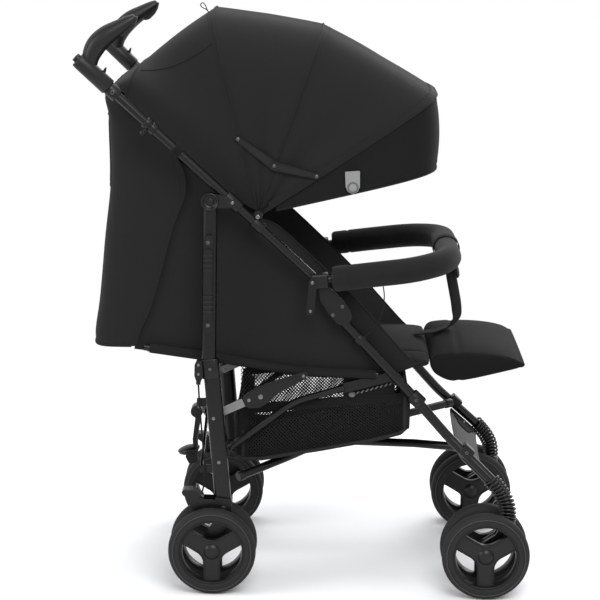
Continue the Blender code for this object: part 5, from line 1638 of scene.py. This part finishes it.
def cushion_rings(stations, width, crown, fall=0.30, across_steps=20):
    rings = []
    fullest = max(high - low for x, low, high in stations)
    for x, low, high in stations:
        thick = high - low
        ring = []
        for i in range(across_steps + 1):
            s = -1 + 2 * i / across_steps
            ring.append((x, s * width / 2,
                         high - fall * thick * s ** 4 + crown * thick / fullest * (1 - s * s)))
        for i in range(across_steps + 1):
            s = 1 - 2 * i / across_steps
            ring.append((x, s * width / 2, low + fall * thick * s ** 4))
        rings.append(ring)
    return rings


def puffed(made, cap, quilt, pressure=4.0):
    """Blows the pad up a little as cloth, and keeps every point within the cap of where it was cut."""
    remesh = made.modifiers.new("even", "REMESH")
    remesh.mode = "VOXEL"
    remesh.voxel_size = 0.0052
    even = final_mesh(made)
    made.modifiers.clear()
    made.data = even
    rest = [v.co.copy() for v in even.vertices]
    held = made.vertex_groups.new(name="seams")
    pins = [v.index for v in even.vertices if quilt(v.co)]
    if pins:
        held.add(pins, 1.0, "REPLACE")
    cloth = made.modifiers.new("cloth", "CLOTH")
    settings = cloth.settings
    settings.quality = 5
    settings.mass = 0.25
    settings.tension_stiffness = 18
    settings.compression_stiffness = 18
    settings.bending_stiffness = 0.6
    settings.use_pressure = True
    settings.uniform_pressure_force = pressure
    settings.effector_weights.gravity = 0.0
    if pins:
        settings.vertex_group_mass = "seams"
        settings.pin_stiffness = 1.0
    cloth.point_cache.frame_start = 1
    cloth.point_cache.frame_end = LAST_FRAME
    scene = bpy.context.scene
    for frame_number in range(1, LAST_FRAME + 1):
        scene.frame_set(frame_number)
    blown = final_mesh(made)
    made.modifiers.clear()
    made.data = blown
    made.vertex_groups.clear()
    for v, start in zip(blown.vertices, rest):
        move = v.co - start
        if move.length > cap:
            v.co = start + move.normalized() * cap
    scene.frame_set(1)


def fine(made):
    divide = made.modifiers.new("fine", "SUBSURF")
    divide.levels = divide.render_levels = 1
    smooth = final_mesh(made)
    made.modifiers.clear()
    made.data = smooth


def clamp_inside(made, node, over=0.0):
    """No point of the pad leaves the CAD piece's box, but for a little stand-out."""
    low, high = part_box(node)
    for v in made.data.vertices:
        for k in range(3):
            v.co[k] = min(max(v.co[k], low[k] - over), high[k] + over)


def make_pad(name, body, stations, width, crown, quilt, fall=0.30, finish="seat"):
    """A padded board, blown up between its quilting seams. quilt(x, y, z) tells where a seam runs."""
    stations = curved(stations, 3)
    bm = bmesh.new()
    skin(bm, [[bm.verts.new(at(*p)) for p in ring] for ring in cushion_rings(stations, width, crown, fall)])
    made = placed(name, mesh_of(bm, name))

    def seam(point):
        return quilt(point.x - AXLE_X, point.y, point.z)

    puffed(made, 0.007, seam)
    clamp_inside(made, name, 0.0015)
    for v in made.data.vertices:
        if seam(v.co):
            v.co.z += -SEAM_DEPTH if v.normal.z > 0 else SEAM_DEPTH
    fine(made)
    made.data.materials.clear()
    made.data.materials.append(FINISH[finish])
    for face in made.data.polygons:
        face.use_smooth = True
        face.material_index = 0
    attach(made, body)
    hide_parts(name)


SEAT_WIDTH = 2 * PANEL_HALF - 0.0036
SEAT = [(0.2120, 0.4030, 0.4140), (0.2220, 0.3990, 0.4225), (0.2600, 0.3960, 0.4300),
        (0.3200, 0.3970, 0.4320), (0.3700, 0.4020, 0.4310), (0.3882, 0.4060, 0.4280),
        (0.3942, 0.4120, 0.4220)]
BACK = []
for share, thick in ((0.0, 0.009), (0.03, 0.018), (0.12, 0.026), (0.35, 0.026), (0.62, 0.026), (0.88, 0.026),
                     (0.98, 0.018), (1.0, 0.009)):
    middle = between(0.4140, 0.4720, share)
    BACK.append((between(0.2117, -0.1870, share), middle - thick / 2, middle + thick / 2))
REST = [(0.3945, 0.4100, 0.4190), (0.4040, 0.3920, 0.4350), (0.4300, 0.3775, 0.4415),
        (0.4600, 0.3785, 0.4425), (0.5050, 0.3905, 0.4395), (0.5430, 0.4020, 0.4315),
        (0.5630, 0.4085, 0.4215), (0.5700, 0.4130, 0.4165)]


def near(value, *marks, reach=0.0035):
    return any(abs(value - mark) < reach for mark in marks)


make_pad("seat_pad", "front_frame", SEAT, SEAT_WIDTH, 0.006,
         lambda x, y, z: near(abs(y), 0.118) or near(x, 0.305) and abs(y) < 0.118)
make_pad("backrest", "back_board", BACK, SEAT_WIDTH, 0.006,
         lambda x, y, z: near(abs(y), 0.105) or near(x, 0.110, -0.020) and abs(y) < 0.105)
# The footrest pad uses the seat cloth painted darker, as painted shade.
make_pad("footrest", "leg_board", REST, SEAT_WIDTH - 0.004, 0.003,
         lambda x, y, z: near(x, 0.4475) or near(x, 0.5600, reach=0.0020), 0.12, finish="rest")


# Bumper bar, crotch strap and cord
BUMPER_HALF = 0.200
BUMPER_BACK = (0.2150, 0.5785)
BUMPER_FRONT = (0.4270, 0.6050)
FOAM_RADIUS = 0.0229


def bumper_line(steps):
    corners = []
    for (x, z), side in ((BUMPER_BACK, -1), (BUMPER_FRONT, -1), (BUMPER_FRONT, 1), (BUMPER_BACK, 1)):
        corners.append((x, side * BUMPER_HALF, z))
    return turned_path(corners, [0.110, 0.110], steps)


def make_bumper():
    """The foam tube, seamed near each end and creased most inside its bends, and the plugs that hold it."""
    path = bumper_line(16)
    total = lengths(path)[-1]
    count = 220
    spine = spread(path, count)
    bm = bmesh.new()
    rings = []
    outline = round_outline(1.0, 40)
    for i, point in enumerate(spine):
        tangent = run_at(spine, i)
        u = (Vector((0, 0, 1)) - tangent.z * tangent).normalized()
        v = tangent.cross(u)
        where = i / count
        end = min(i, count - i) / count * total
        shrink = 1 - 0.10 * max(0.0, 1 - end / 0.006) ** 2
        seam = 0.0016 * math.exp(-((end - 0.030) / 0.0016) ** 2)
        bend = 1.0 if 0.16 < min(where, 1 - where) < 0.40 else 0.25
        ring = []
        for a, b in outline:
            inner = max(0.0, -(u * a + v * b).dot((point - Vector((0.300, 0, 0.590))).normalized()))
            crease = 0.0011 * bend * inner * math.sin(end * 310 + 2.5 * noise(point * 11)) ** 2
            soft = 0.0006 * noise(point * 16 + (u * a + v * b) * 2)
            size = FOAM_RADIUS * shrink - seam - crease + soft
            if abs(a) < 0.10 and b < 0:
                size -= 0.0008
            ring.append(bm.verts.new(at(*(point + (u * a + v * b) * size))))
        rings.append(ring)
    skin(bm, rings)
    mesh = mesh_of(bm, "bumper_bar")
    mesh.materials.append(FINISH["foam"])
    smooth_mesh(mesh, math.radians(60))
    made = placed("bumper_bar", mesh)
    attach(made, "bumper")
    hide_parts("bumper_bar")
    plugs = Piece("bumper_plugs", "bumper", slot="plastic")
    for s in (-1, 1):
        y = s * BUMPER_HALF
        plugs.put("plastic", rod((0.1945, y, 0.5767), (0.2180, y, 0.5788), 0.0065, 24, 0.0008),
                  collar((0.2146, y, 0.57848), (1, 0, 0.092), 0.0040, 0.0190, 0.0012))
    plugs.ride()


make_bumper()


def make_crotch_strap():
    """Webbing from the seat up to the bumper, bound along both edges."""
    corners = [(0.4330, 0, 0.5800), (0.4395, 0, 0.5450), (0.4480, 0, 0.5030), (0.4520, 0, 0.4720),
               (0.4380, 0, 0.4545), (0.4120, 0, 0.4450), (0.3720, 0, 0.4396)]
    path = spread(turned_path(corners, [0.1, 0.1, 0.02, 0.02, 0.02], 6), 60)
    bm = bmesh.new()
    pad, rings, edges = box_outline(1.0, 1.0, 0.28, 4), [], ([], [])
    for k, point in enumerate(path):
        run = run_at(path, k)
        turn = math.radians(12 + 21 * max(0.0, min(1.0, (48 - k) / 20)))
        u = Vector((math.sin(turn), math.cos(turn), 0))
        u = (u - u.dot(run) * run).normalized()
        v = run.cross(u)
        thick = 0.0040 + 0.0016 * math.sin(math.pi * min(k / 30, 1.0)) - 0.0008
        rings.append([bm.verts.new(point + 0.0334 * a * u + thick * b * v) for a, b in pad])
        for s, edge in zip((-1, 1), edges):
            edge.append(point + s * 0.0166 * u)
    skin(bm, rings)
    strap = Piece("crotch_strap", "front_frame", "crotch_strap", slot="cloth")
    strap.put("webbing", bm)
    strap.put("piping", *(sweep(edge, round_outline(0.0013, 8)) for edge in edges))
    made = strap.object()
    strap.known(made)
    at(0.430, 0, 0.470)
    at(0.437, 0, 0.575)
    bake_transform(made)


def make_crotch_loop():
    """The loop round the bumper with its tab, which the strap hangs from."""
    loop = Piece("crotch_loop", "bumper", slot="cloth")
    turn = [(0.0236, -0.0172), (0.0240, -0.0180), (0.0250, -0.0180), (0.0254, -0.0172), (0.0254, 0.0172),
            (0.0250, 0.0180), (0.0240, 0.0180), (0.0236, 0.0172)]
    loop.put("webbing", lathe(turn, (BUMPER_FRONT[0], 0, BUMPER_FRONT[1]), (0, 1, 0), 72))
    tab = curved([(0.4400, 0, 0.5858), (0.4480, 0, 0.5660), (0.4515, 0, 0.5490)], 6)
    sizes = [1.0] * (len(tab) - 2) + [0.92, 0.70]
    loop.put("webbing", sweep(tab, box_outline(0.0260, 0.0034, 0.0015, 4), (0.2, 1, 0), sizes))
    loop.ride()


def make_elastic_cord():
    """The thin cord from the near side of the bumper down to the front leg."""
    route = [(0.3050, -0.2000, 0.5660), (0.3070, -0.1990, 0.5520), (0.3070, -0.1980, 0.5390),
             (0.3055, -0.1965, 0.5240), (0.3010, -0.1955, 0.5100), (0.2940, -0.1945, 0.4950),
             (0.2850, -0.1935, 0.4830), (0.2740, -0.1930, 0.4730)]
    cord = Piece("elastic_cord", "front_frame", "elastic_cord", slot="plastic")
    cord.put("webbing", sweep(curved(route, 5), round_outline(0.0011, 10), (1, 0, 0)))
    made = cord.object()
    cord.known(made)
    at(0.300, -BUMPER_HALF, 0.505)
    at(0.305, -BUMPER_HALF, 0.563)
    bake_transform(made)


make_crotch_strap()
make_crotch_loop()
make_elastic_cord()


# Basket of net with a bound rim, a cloth floor, and net up to the seat
def hang_net(made, squash=True):
    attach(made, "front_frame")
    if squash:
        at(0.2, 0, 0.345)
        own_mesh(made)


NET_HALF = RAIL_INNER - 0.0003
NET_THICK = 0.0008
BASKET_SECTIONS = (
    (0.0400, 0.3300, 0.2300, 0.0100, 0.2360), (0.0560, 0.3340, 0.2262, 0.0, 0.2330),
    (0.0880, 0.3380, 0.2262, 0.0, 0.2330), (0.1950, 0.3480, 0.2450, 0.0, 0.2600),
    (0.2800, 0.3560, 0.2625, 0.0, 0.2740), (0.3410, 0.3600, 0.2785, 0.0, 0.2850),
    (0.3560, 0.3610, 0.2920, 0.0, 0.2960),
)


def basket_section(place):
    """x, top, bottom, inset and floor between two of the given sections."""
    k = int(place)
    beyond = BASKET_SECTIONS[min(k + 1, len(BASKET_SECTIONS) - 1)]
    return [between(a, b, place - k) for a, b in zip(BASKET_SECTIONS[k], beyond)]


def basket_grid():
    corner = 0.030
    grid = []
    for k in range(31):
        x, top, bottom, inset, floor = basket_section(k / 30 * (len(BASKET_SECTIONS) - 1))
        half = NET_HALF - inset
        line = [(-half, top), (-half, between(top, bottom, 0.33)), (-half, bottom + corner),
                (-half + 0.25 * corner, bottom + 0.2 * corner), (-half + corner, bottom),
                (-half / 2, floor), (0, floor)]
        line += [(-y, z) for y, z in line[:-1][::-1]]
        grid.append([Vector((x, v.x, v.y)) for v in curved([(y, z, 0) for y, z in line], 4)])
    return grid


def make_basket():
    """The net's sides and floor in one sheet, with cloth over the floor and at both ends."""
    def sag(i, j, point):
        return -0.0012 + 0.0024 * noise(Vector((point.x * 12, point.y * 12, point.z * 12)))

    def cloth(face):
        x, z = face.center.x - AXLE_X, face.center.z
        return abs(face.normal.z) > 0.55 or (x < 0.0600 and z < 0.3130) or x > 0.3440

    net = Sheet("basket", basket_grid(), "net", (0, 0, -1), thick=NET_THICK, shape=sag)
    for v in net.made.data.vertices:
        v.co.y = min(max(v.co.y, -NET_HALF), NET_HALF)
    net.second_finish("cuff", cloth)
    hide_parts("basket")
    hang_net(net.made)
    net.declare()
    return net


def make_basket_walls(net):
    """A wall of net at each end, between the two sides."""
    last = len(net.outer[0]) - 1
    for name, ring, outward in (("rear", net.outer[0], (-1, 0, 0)), ("front", net.outer[-1], (1, 0, 0))):
        grid = [[ring[b].lerp(ring[last - b], a / 8) for a in range(9)] for b in range(last // 2 + 1)]
        wall = Sheet("basket_%s_wall" % name, grid, "net", outward, thick=NET_THICK)
        hang_net(wall.made)
        wall.declare()


def make_basket_binding(net):
    """Cloth cuffs round the rim, piping at both ends, and binding up the sides and along the floor."""
    outer = net.outer
    rows, last = len(outer) - 1, len(outer[0]) - 1
    cuff = Piece("basket_binding", "front_frame", slot="mesh")
    for line in ([row[0] for row in outer], [row[last] for row in outer]):
        out = 1 if line[0].y > 0 else -1
        lowered = [p + Vector((0, -out * 0.0012, -0.0075)) for p in line]
        cuff.put("cuff", sweep(lowered, box_outline(0.0030, 0.0180, 0.0010, 2), (0, 1, 0)))
    for ring in (outer[0], outer[rows]):
        span = []
        for k in range(13):
            sag = 0.010 * math.sin(math.pi * k / 12)
            span.append(ring[0].lerp(ring[last], k / 12) + Vector((0, 0, -0.0045 - sag)))
        cuff.put("cuff", sweep(span, box_outline(0.0150, 0.0026, 0.0009, 2), (0, 0, 1)))
        cuff.put("piping", sweep(ring[1:last], round_outline(0.0032, 10), (1, 0, 0)))
    for j in (12, last - 12):
        edge = [outer[i][j] for i in range(1, rows)]
        cuff.put("binding", sweep(edge, round_outline(0.0040, 12), (0, 1, 0)))
    for i, top in ((4, 5), (rows - 2, 1)):
        for columns in (range(top, 13), range(last - top, last - 13, -1)):
            post = [outer[i][j] for j in columns]
            cuff.put("binding", sweep(post, round_outline(0.0036, 12, 1.0, 0.5), (1, 0, 0)))
    hang_net(cuff.object())


def make_seat_net(tag, side):
    """Net from the basket's rim up to the seat tube, with plain cloth in its front part."""
    grid = []
    for k in range(9):
        row = []
        for m in range(37):
            x = between(0.0480, 0.3300, m / 36)
            low = between(0.3340, 0.3570, (x - 0.056) / 0.285) - 0.004
            high = 0.4130 - 0.085 * (x - 0.05) if x < 0.15 else 0.4045 - 0.0400 * (x - 0.15)
            y = side * (NET_HALF - 0.0016 - 0.0012 * math.sin(math.pi * k / 8))
            row.append(Vector((x, y, between(high, low, k / 8))))
        grid.append(row)
    net = Sheet("seat_net_" + tag, grid, "seat_net", (0, side, 0), thick=NET_THICK)
    net.second_finish("cuff", lambda face: face.center.x - AXLE_X > 0.2350)
    hang_net(net.made, squash=False)
    net.declare()


BASKET = make_basket()
make_basket_walls(BASKET)
make_basket_binding(BASKET)
for tag, side in SIDES:
    make_seat_net(tag, side)


# Foot strap, pedals, carry handle and small parts
STRAP_ROWS = 40
STRAP_COLUMNS = 8


def leg_at(x):
    for a, b in zip(LEG_LINE, LEG_LINE[1:]):
        if x <= b[0]:
            return Vector(a).lerp(Vector(b), (x - a[0]) / (b[0] - a[0]))
    return Vector(LEG_LINE[-1])


def make_foot_strap():
    """Webbing between the front legs, hemmed and stitched, sagging a little in the middle."""
    under = Vector((-0.686, 0, -0.728)) * 0.0113
    grid = []
    for k in range(STRAP_ROWS + 1):
        s = -1 + 2 * k / STRAP_ROWS
        narrow = 1 - 0.10 * (1 - abs(s))
        sag = 0.010 * (1 - s * s)
        row = []
        for m in range(STRAP_COLUMNS + 1):
            x = between(0.4620, 0.5140, 0.5 + (m / STRAP_COLUMNS - 0.5) * narrow)
            spot = leg_at(x) + under
            row.append(Vector((spot.x - sag * 0.3, s * (spot.y - 0.004), spot.z - sag)))
        grid.append(row)

    def ripple(i, j, point):
        return -0.0002 + 0.0006 * noise(point * 22) * math.sin(math.pi * i)

    strap = Sheet("foot_strap", grid, "grey_webbing", (0.686, 0, 0.728), thick=0.0020, shape=ripple)
    strap.ride("front_frame", ["foot_strap"], "stretched", ["front_leg_r", "front_leg_l"], "strap")
    hems = Piece("foot_strap_hems", "front_frame", slot="strap")
    hems.put("grey_webbing", *(piping(strap.column(m, -0.0008), 0.0015) for m in (0, STRAP_COLUMNS))).ride()
    lines = [strap.column(m) for m in (1, STRAP_COLUMNS - 1)] + [strap.row(k) for k in (3, STRAP_ROWS - 3)]
    sew("foot_strap_stitches", "front_frame", lines, "tag")
    return strap


def make_strap_ends(strap):
    """A tapered patch of webbing on each leg, with a rivet through it."""
    ends = Piece("foot_strap_ends", "front_frame", slot="strap")
    for first, step in ((0, 1), (STRAP_ROWS, -1)):
        rows = []
        for n in range(7):
            inset = n // 2
            places = [(first + step * n, m) for m in range(inset, STRAP_COLUMNS + 1 - inset)]
            line = strap.line(places, 0.0)
            across = spread([p for p, facing in line], 8)
            up = line[len(line) // 2][1]
            rows.append([p + up * 0.0022 for p in across] + [p + up * 0.0004 for p in across[::-1]])
        bm = bmesh.new()
        skin(bm, [[bm.verts.new(p) for p in row] for row in rows])
        ends.put("webbing", bm)
        spot, facing = strap.line([(first + step * 2, STRAP_COLUMNS // 2)], 0.0022)[0]
        rivet("front_frame", "rivet", spot, facing, 0.9)
    ends.ride()


make_strap_ends(make_foot_strap())


def make_pedals():
    for tag, side in SIDES:
        y = side * REAR_LEG_HALF
        outline = [
            (-0.0165, 0.1580), (-0.0165, 0.1740), (-0.0230, 0.1800), (-0.0380, 0.1880), (-0.0540, 0.1880),
            (-0.0570, 0.1830), (-0.0540, 0.1780), (-0.0440, 0.1700), (-0.0380, 0.1520), (-0.0270, 0.1480),
        ]
        piece = Piece("brake_pedal_" + tag, "brake_" + tag, "brake_pedal_" + tag, slot="plastic")
        piece.put("plastic", plate(rounded(outline, 0.0035, 4), y - 0.0145, y + 0.0145, 0.0014, 3))
        for k in range(4):
            x = -0.0500 + k * 0.0042
            piece.put("grip", sweep([(x, y - 0.0115, 0.1878), (x, y + 0.0115, 0.1878)],
                                    round_outline(0.0008, 8), (1, 0, 0)))
        for sign in (-1, 1):
            arm = [(-0.0180, 0.1570), (-0.0180, 0.1720), (0.0060, 0.1710), (0.0130, 0.1640),
                   (0.0060, 0.1570)]
            piece.put("plastic",
                      plate(rounded(arm, 0.003, 4), y + sign * 0.0163, y + sign * 0.0175, 0.0004),
                      plate([(-0.0240, 0.1570), (-0.0240, 0.1740), (-0.0170, 0.1740), (-0.0170, 0.1570)],
                            y + sign * 0.0125, y + sign * 0.0174, 0.0004))
        piece.ride()
    stalk = [(-0.0380, 0.2920), (-0.0340, 0.2720), (-0.0410, 0.2300), (-0.0400, 0.1850), (-0.0560, 0.1800),
             (-0.0640, 0.1950), (-0.0600, 0.2030), (-0.0480, 0.2060), (-0.0500, 0.2300), (-0.0450, 0.2700),
             (-0.0470, 0.2920)]
    cap = [(0.0, 0.0), (0.0150, 0.0), (0.0190, 0.0025), (0.0208, 0.0050), (0.0215, 0.0080),
           (0.0204, 0.0102), (0.0170, 0.0120), (0.0100, 0.0142), (0.0, 0.0150)]
    piece = Piece("fold_pedal", "release_pedal", "fold_pedal", slot="plastic")
    piece.put("plastic", plate(rounded(stalk, 0.005, 4), -0.0130, 0.0130, 0.0016, 3),
              lathe(cap, (-0.0560, 0, 0.2000), (-0.25, 0, 1), 40),
              boss(-0.0420, 0.2845, 0.0116, -0.0160, 0.0160, 0.0008))
    piece.ride()


def make_carry_handle():
    y0 = -(LEG_OUTER + 0.0003)
    outline = [(-0.0180, 0.4880), (-0.0170, 0.6530), (-0.0140, 0.6590), (-0.0020, 0.6590), (0.0010, 0.6530),
               (-0.0005, 0.4880), (-0.0040, 0.4820), (-0.0150, 0.4820)]
    piece = Piece("carry_handle", "rear_frame", "carry_handle", slot="plastic")
    rise = [(-0.0165, 0.5060), (-0.0160, 0.6350), (-0.0015, 0.6350), (-0.0020, 0.5060)]
    piece.put("plastic", plate(rounded(outline, 0.004, 4), y0 - 0.0080, y0, 0.0018, 3),
              plate(rounded(rise, 0.004, 4), y0 - 0.0120, y0 - 0.004, 0.0022, 3))
    for start in (0.5200, 0.5950):
        for i in range(4):
            z = start + i * 0.0090
            rib = [(-0.0172, z), (-0.0172, z + 0.0038), (-0.0003, z + 0.0038), (-0.0003, z)]
            piece.put("grip", plate(rounded(rib, 0.0015, 3), y0 - 0.0134, y0 - 0.004, 0.0010))
    piece.ride()
    for z in (0.4960, 0.6460):
        rivet("rear_frame", "screw", (-0.0088, y0 - 0.0082, z), (0, -1, 0), 1.1)


def make_small_parts():
    """The brake cables behind the rear legs with their latch blocks, and the snap and cord under the seat."""
    for tag, side in SIDES:
        y = side * 0.2150
        cable = curved([(-0.0268, y, 0.3900), (-0.0244, y, 0.3500), (-0.0214, y, 0.3127),
                        (-0.0180, y, 0.2700), (-0.0150, y, 0.2340), (-0.0163, y, 0.2003),
                        (-0.0200, y, 0.1790)], 6)
        piece = Piece("brake_cable_" + tag, "rear_frame", slot="plastic")
        piece.put("webbing", sweep(cable, round_outline(0.0016, 12), (0, 1, 0)))
        block = [(-0.0200, 0.4300), (-0.0290, 0.4300), (-0.0330, 0.4220), (-0.0335, 0.4020),
                 (-0.0300, 0.3920), (-0.0290, 0.3860), (-0.0230, 0.3860), (-0.0200, 0.3960),
                 (-0.0175, 0.3980)]
        piece.put("plastic", plate(rounded(block, 0.003, 4), y - 0.0070, y + 0.0070, 0.0016, 3),
                  collar((-0.0265, y, 0.3875), (0.06, 0, 1), 0.0060, 0.0042, 0.0010, 24))
        piece.ride()
        for z in (0.4220, 0.4050):
            rivet("rear_frame", "rivet", (-0.0262, y + side * 0.0069, z), (0, side, 0), 0.8)
    snap = Piece("seat_snap", "front_frame", slot="plastic")
    dome = [(0.0, 0.0), (0.0062, 0.0), (0.0062, 0.0008), (0.0050, 0.0018), (0.0, 0.0024)]
    for side in (-1, 1):
        snap.put("ring", lathe(dome, (0.2519, side * 0.1668, 0.3584), (0, side, 0.9), 32))
    snap.ride()
    for tag, side in SIDES:
        cord = Piece("seat_cord_" + tag, "front_frame", slot="cloth")
        y = side * 0.1650
        start, end = Vector((0.2600, y, 0.3600)), Vector((0.3290, y, 0.3812))
        for phase in (0.0, math.pi):
            line = []
            for k in range(97):
                t = 2 * math.pi * k / 12 + phase
                swing = 0.0013 * math.sin(math.pi * min(1.0, k / 8, (96 - k) / 8) / 2)
                line.append(start.lerp(end, k / 96) + Vector((-0.3, 0, 1)) * swing * math.cos(t)
                            + Vector((0, swing * math.sin(t), 0)))
            cord.put("grey_webbing" if phase else "webbing",
                     sweep(line, round_outline(0.0013, 8), (0, 1, 0)))
        cord.put("plastic",
                 collar(end + Vector((0.004, 0, 0.0012)), (0.95, 0, 0.3), 0.0150, 0.0048, 0.0016, 24))
        cord.ride()


make_pedals()
make_carry_handle()
make_small_parts()

heads = sorted(RIVETS.items(), key=lambda item: str(item[0]))
for number, ((body, kind, finish, size), places) in enumerate(heads):
    repeats("%s_heads_%02d_%s" % (kind, number, body), body, kind, finish, places, size)


# Floor, light and camera
LAMPS = (
    ("key", (0.6, -2.6, 2.6), 1.8, 70),
    ("fill", (-2.4, -1.2, 1.4), 1.6, 32),
    ("top", (0.1, 0.4, 3.0), 2.2, 50),
    ("back", (1.6, 2.4, 1.8), 1.6, 34),
)
LAMP_AIM = Vector((0.0, 0.0, 0.55))
CAMERA_PLACE = (0.2058, -3.9849, 1.2657)
CAMERA_TURNS = (10.86, 0.76, 0.56)
FOCAL_PIXELS = 2141
IMAGE_PIXELS = 600
SENSOR_WIDTH = 36.0


def make_floor():
    """White paper that fades out away from the pushchair."""
    mesh = bpy.data.meshes.new("floor")
    mesh.from_pydata([(-3, -3, 0), (3, -3, 0), (3, 3, 0), (-3, 3, 0)], [], [(0, 1, 2, 3)])
    floor = placed("floor", mesh)
    paper = Shade("floor_paper")
    tone = paper.noise(1.5, 2.0)
    away = paper.node("ShaderNodeVectorMath", {"operation": "LENGTH"}, {0: paper.place((1.0, 0.8, 1.0))},
                      "Value")
    fade = paper.node("ShaderNodeMapRange", {"interpolation_type": "SMOOTHSTEP"},
                      {"Value": away, "From Min": 0.75, "From Max": 1.35, "To Min": 1.0, "To Max": 0.0})
    paper.set(Base_Color=paper.mix(tone, grey(0.93), grey(0.95)), Roughness=tone * 0.05 + 0.90, Alpha=fade,
              Specular_IOR_Level=0.0)
    mesh.materials.append(paper.material)


def make_surroundings():
    """Soft light all round, which the camera, glass and shiny surfaces see as plain white."""
    world = bpy.data.worlds.new("studio")
    world.use_nodes = True
    tree = world.node_tree
    background = tree.nodes["Background"]
    background.inputs["Color"].default_value = (0.95, 0.97, 1.0, 1)
    background.inputs["Strength"].default_value = 0.62
    rays = tree.nodes.new("ShaderNodeLightPath")
    white = tree.nodes.new("ShaderNodeBackground")
    white.inputs["Color"].default_value = (1, 1, 1, 1)
    white.inputs["Strength"].default_value = 1.0
    sees_white = rays.outputs["Is Camera Ray"]
    for ray in ("Is Transmission Ray", "Is Glossy Ray"):
        either = tree.nodes.new("ShaderNodeMath")
        either.operation = "MAXIMUM"
        tree.links.new(sees_white, either.inputs[0])
        tree.links.new(rays.outputs[ray], either.inputs[1])
        sees_white = either.outputs[0]
    mix = tree.nodes.new("ShaderNodeMixShader")
    tree.links.new(sees_white, mix.inputs[0])
    tree.links.new(background.outputs[0], mix.inputs[1])
    tree.links.new(white.outputs[0], mix.inputs[2])
    tree.links.new(mix.outputs[0], tree.nodes["World Output"].inputs["Surface"])
    bpy.context.scene.world = world


def make_lamps():
    for name, place, size, power in LAMPS:
        lamp = bpy.data.lights.new(name, "AREA")
        lamp.size = size
        lamp.energy = power
        made = placed(name, lamp)
        made.location = place
        made.rotation_euler = (LAMP_AIM - Vector(place)).to_track_quat("-Z", "Y").to_euler()


def make_camera():
    pitch, around, roll = (math.radians(turn) for turn in CAMERA_TURNS)
    level = Vector((math.cos(around), math.sin(around), 0))
    facing = Vector((-math.sin(around) * math.cos(pitch), math.cos(around) * math.cos(pitch),
                     -math.sin(pitch)))
    upright = level.cross(facing)
    right = level * math.cos(roll) + upright * math.sin(roll)
    up = upright * math.cos(roll) - level * math.sin(roll)
    lens = bpy.data.cameras.new("camera")
    lens.sensor_width = SENSOR_WIDTH
    lens.lens = FOCAL_PIXELS / IMAGE_PIXELS * SENSOR_WIDTH
    lens.clip_end = 50
    camera = placed("camera", lens)
    turn = Matrix((right, up, -facing)).transposed().to_4x4()
    camera.matrix_world = Matrix.Translation(at(*CAMERA_PLACE)) @ turn
    bpy.context.scene.camera = camera


bpy.context.scene.view_settings.view_transform = "Standard"
make_floor()
make_surroundings()
make_lamps()
make_camera()
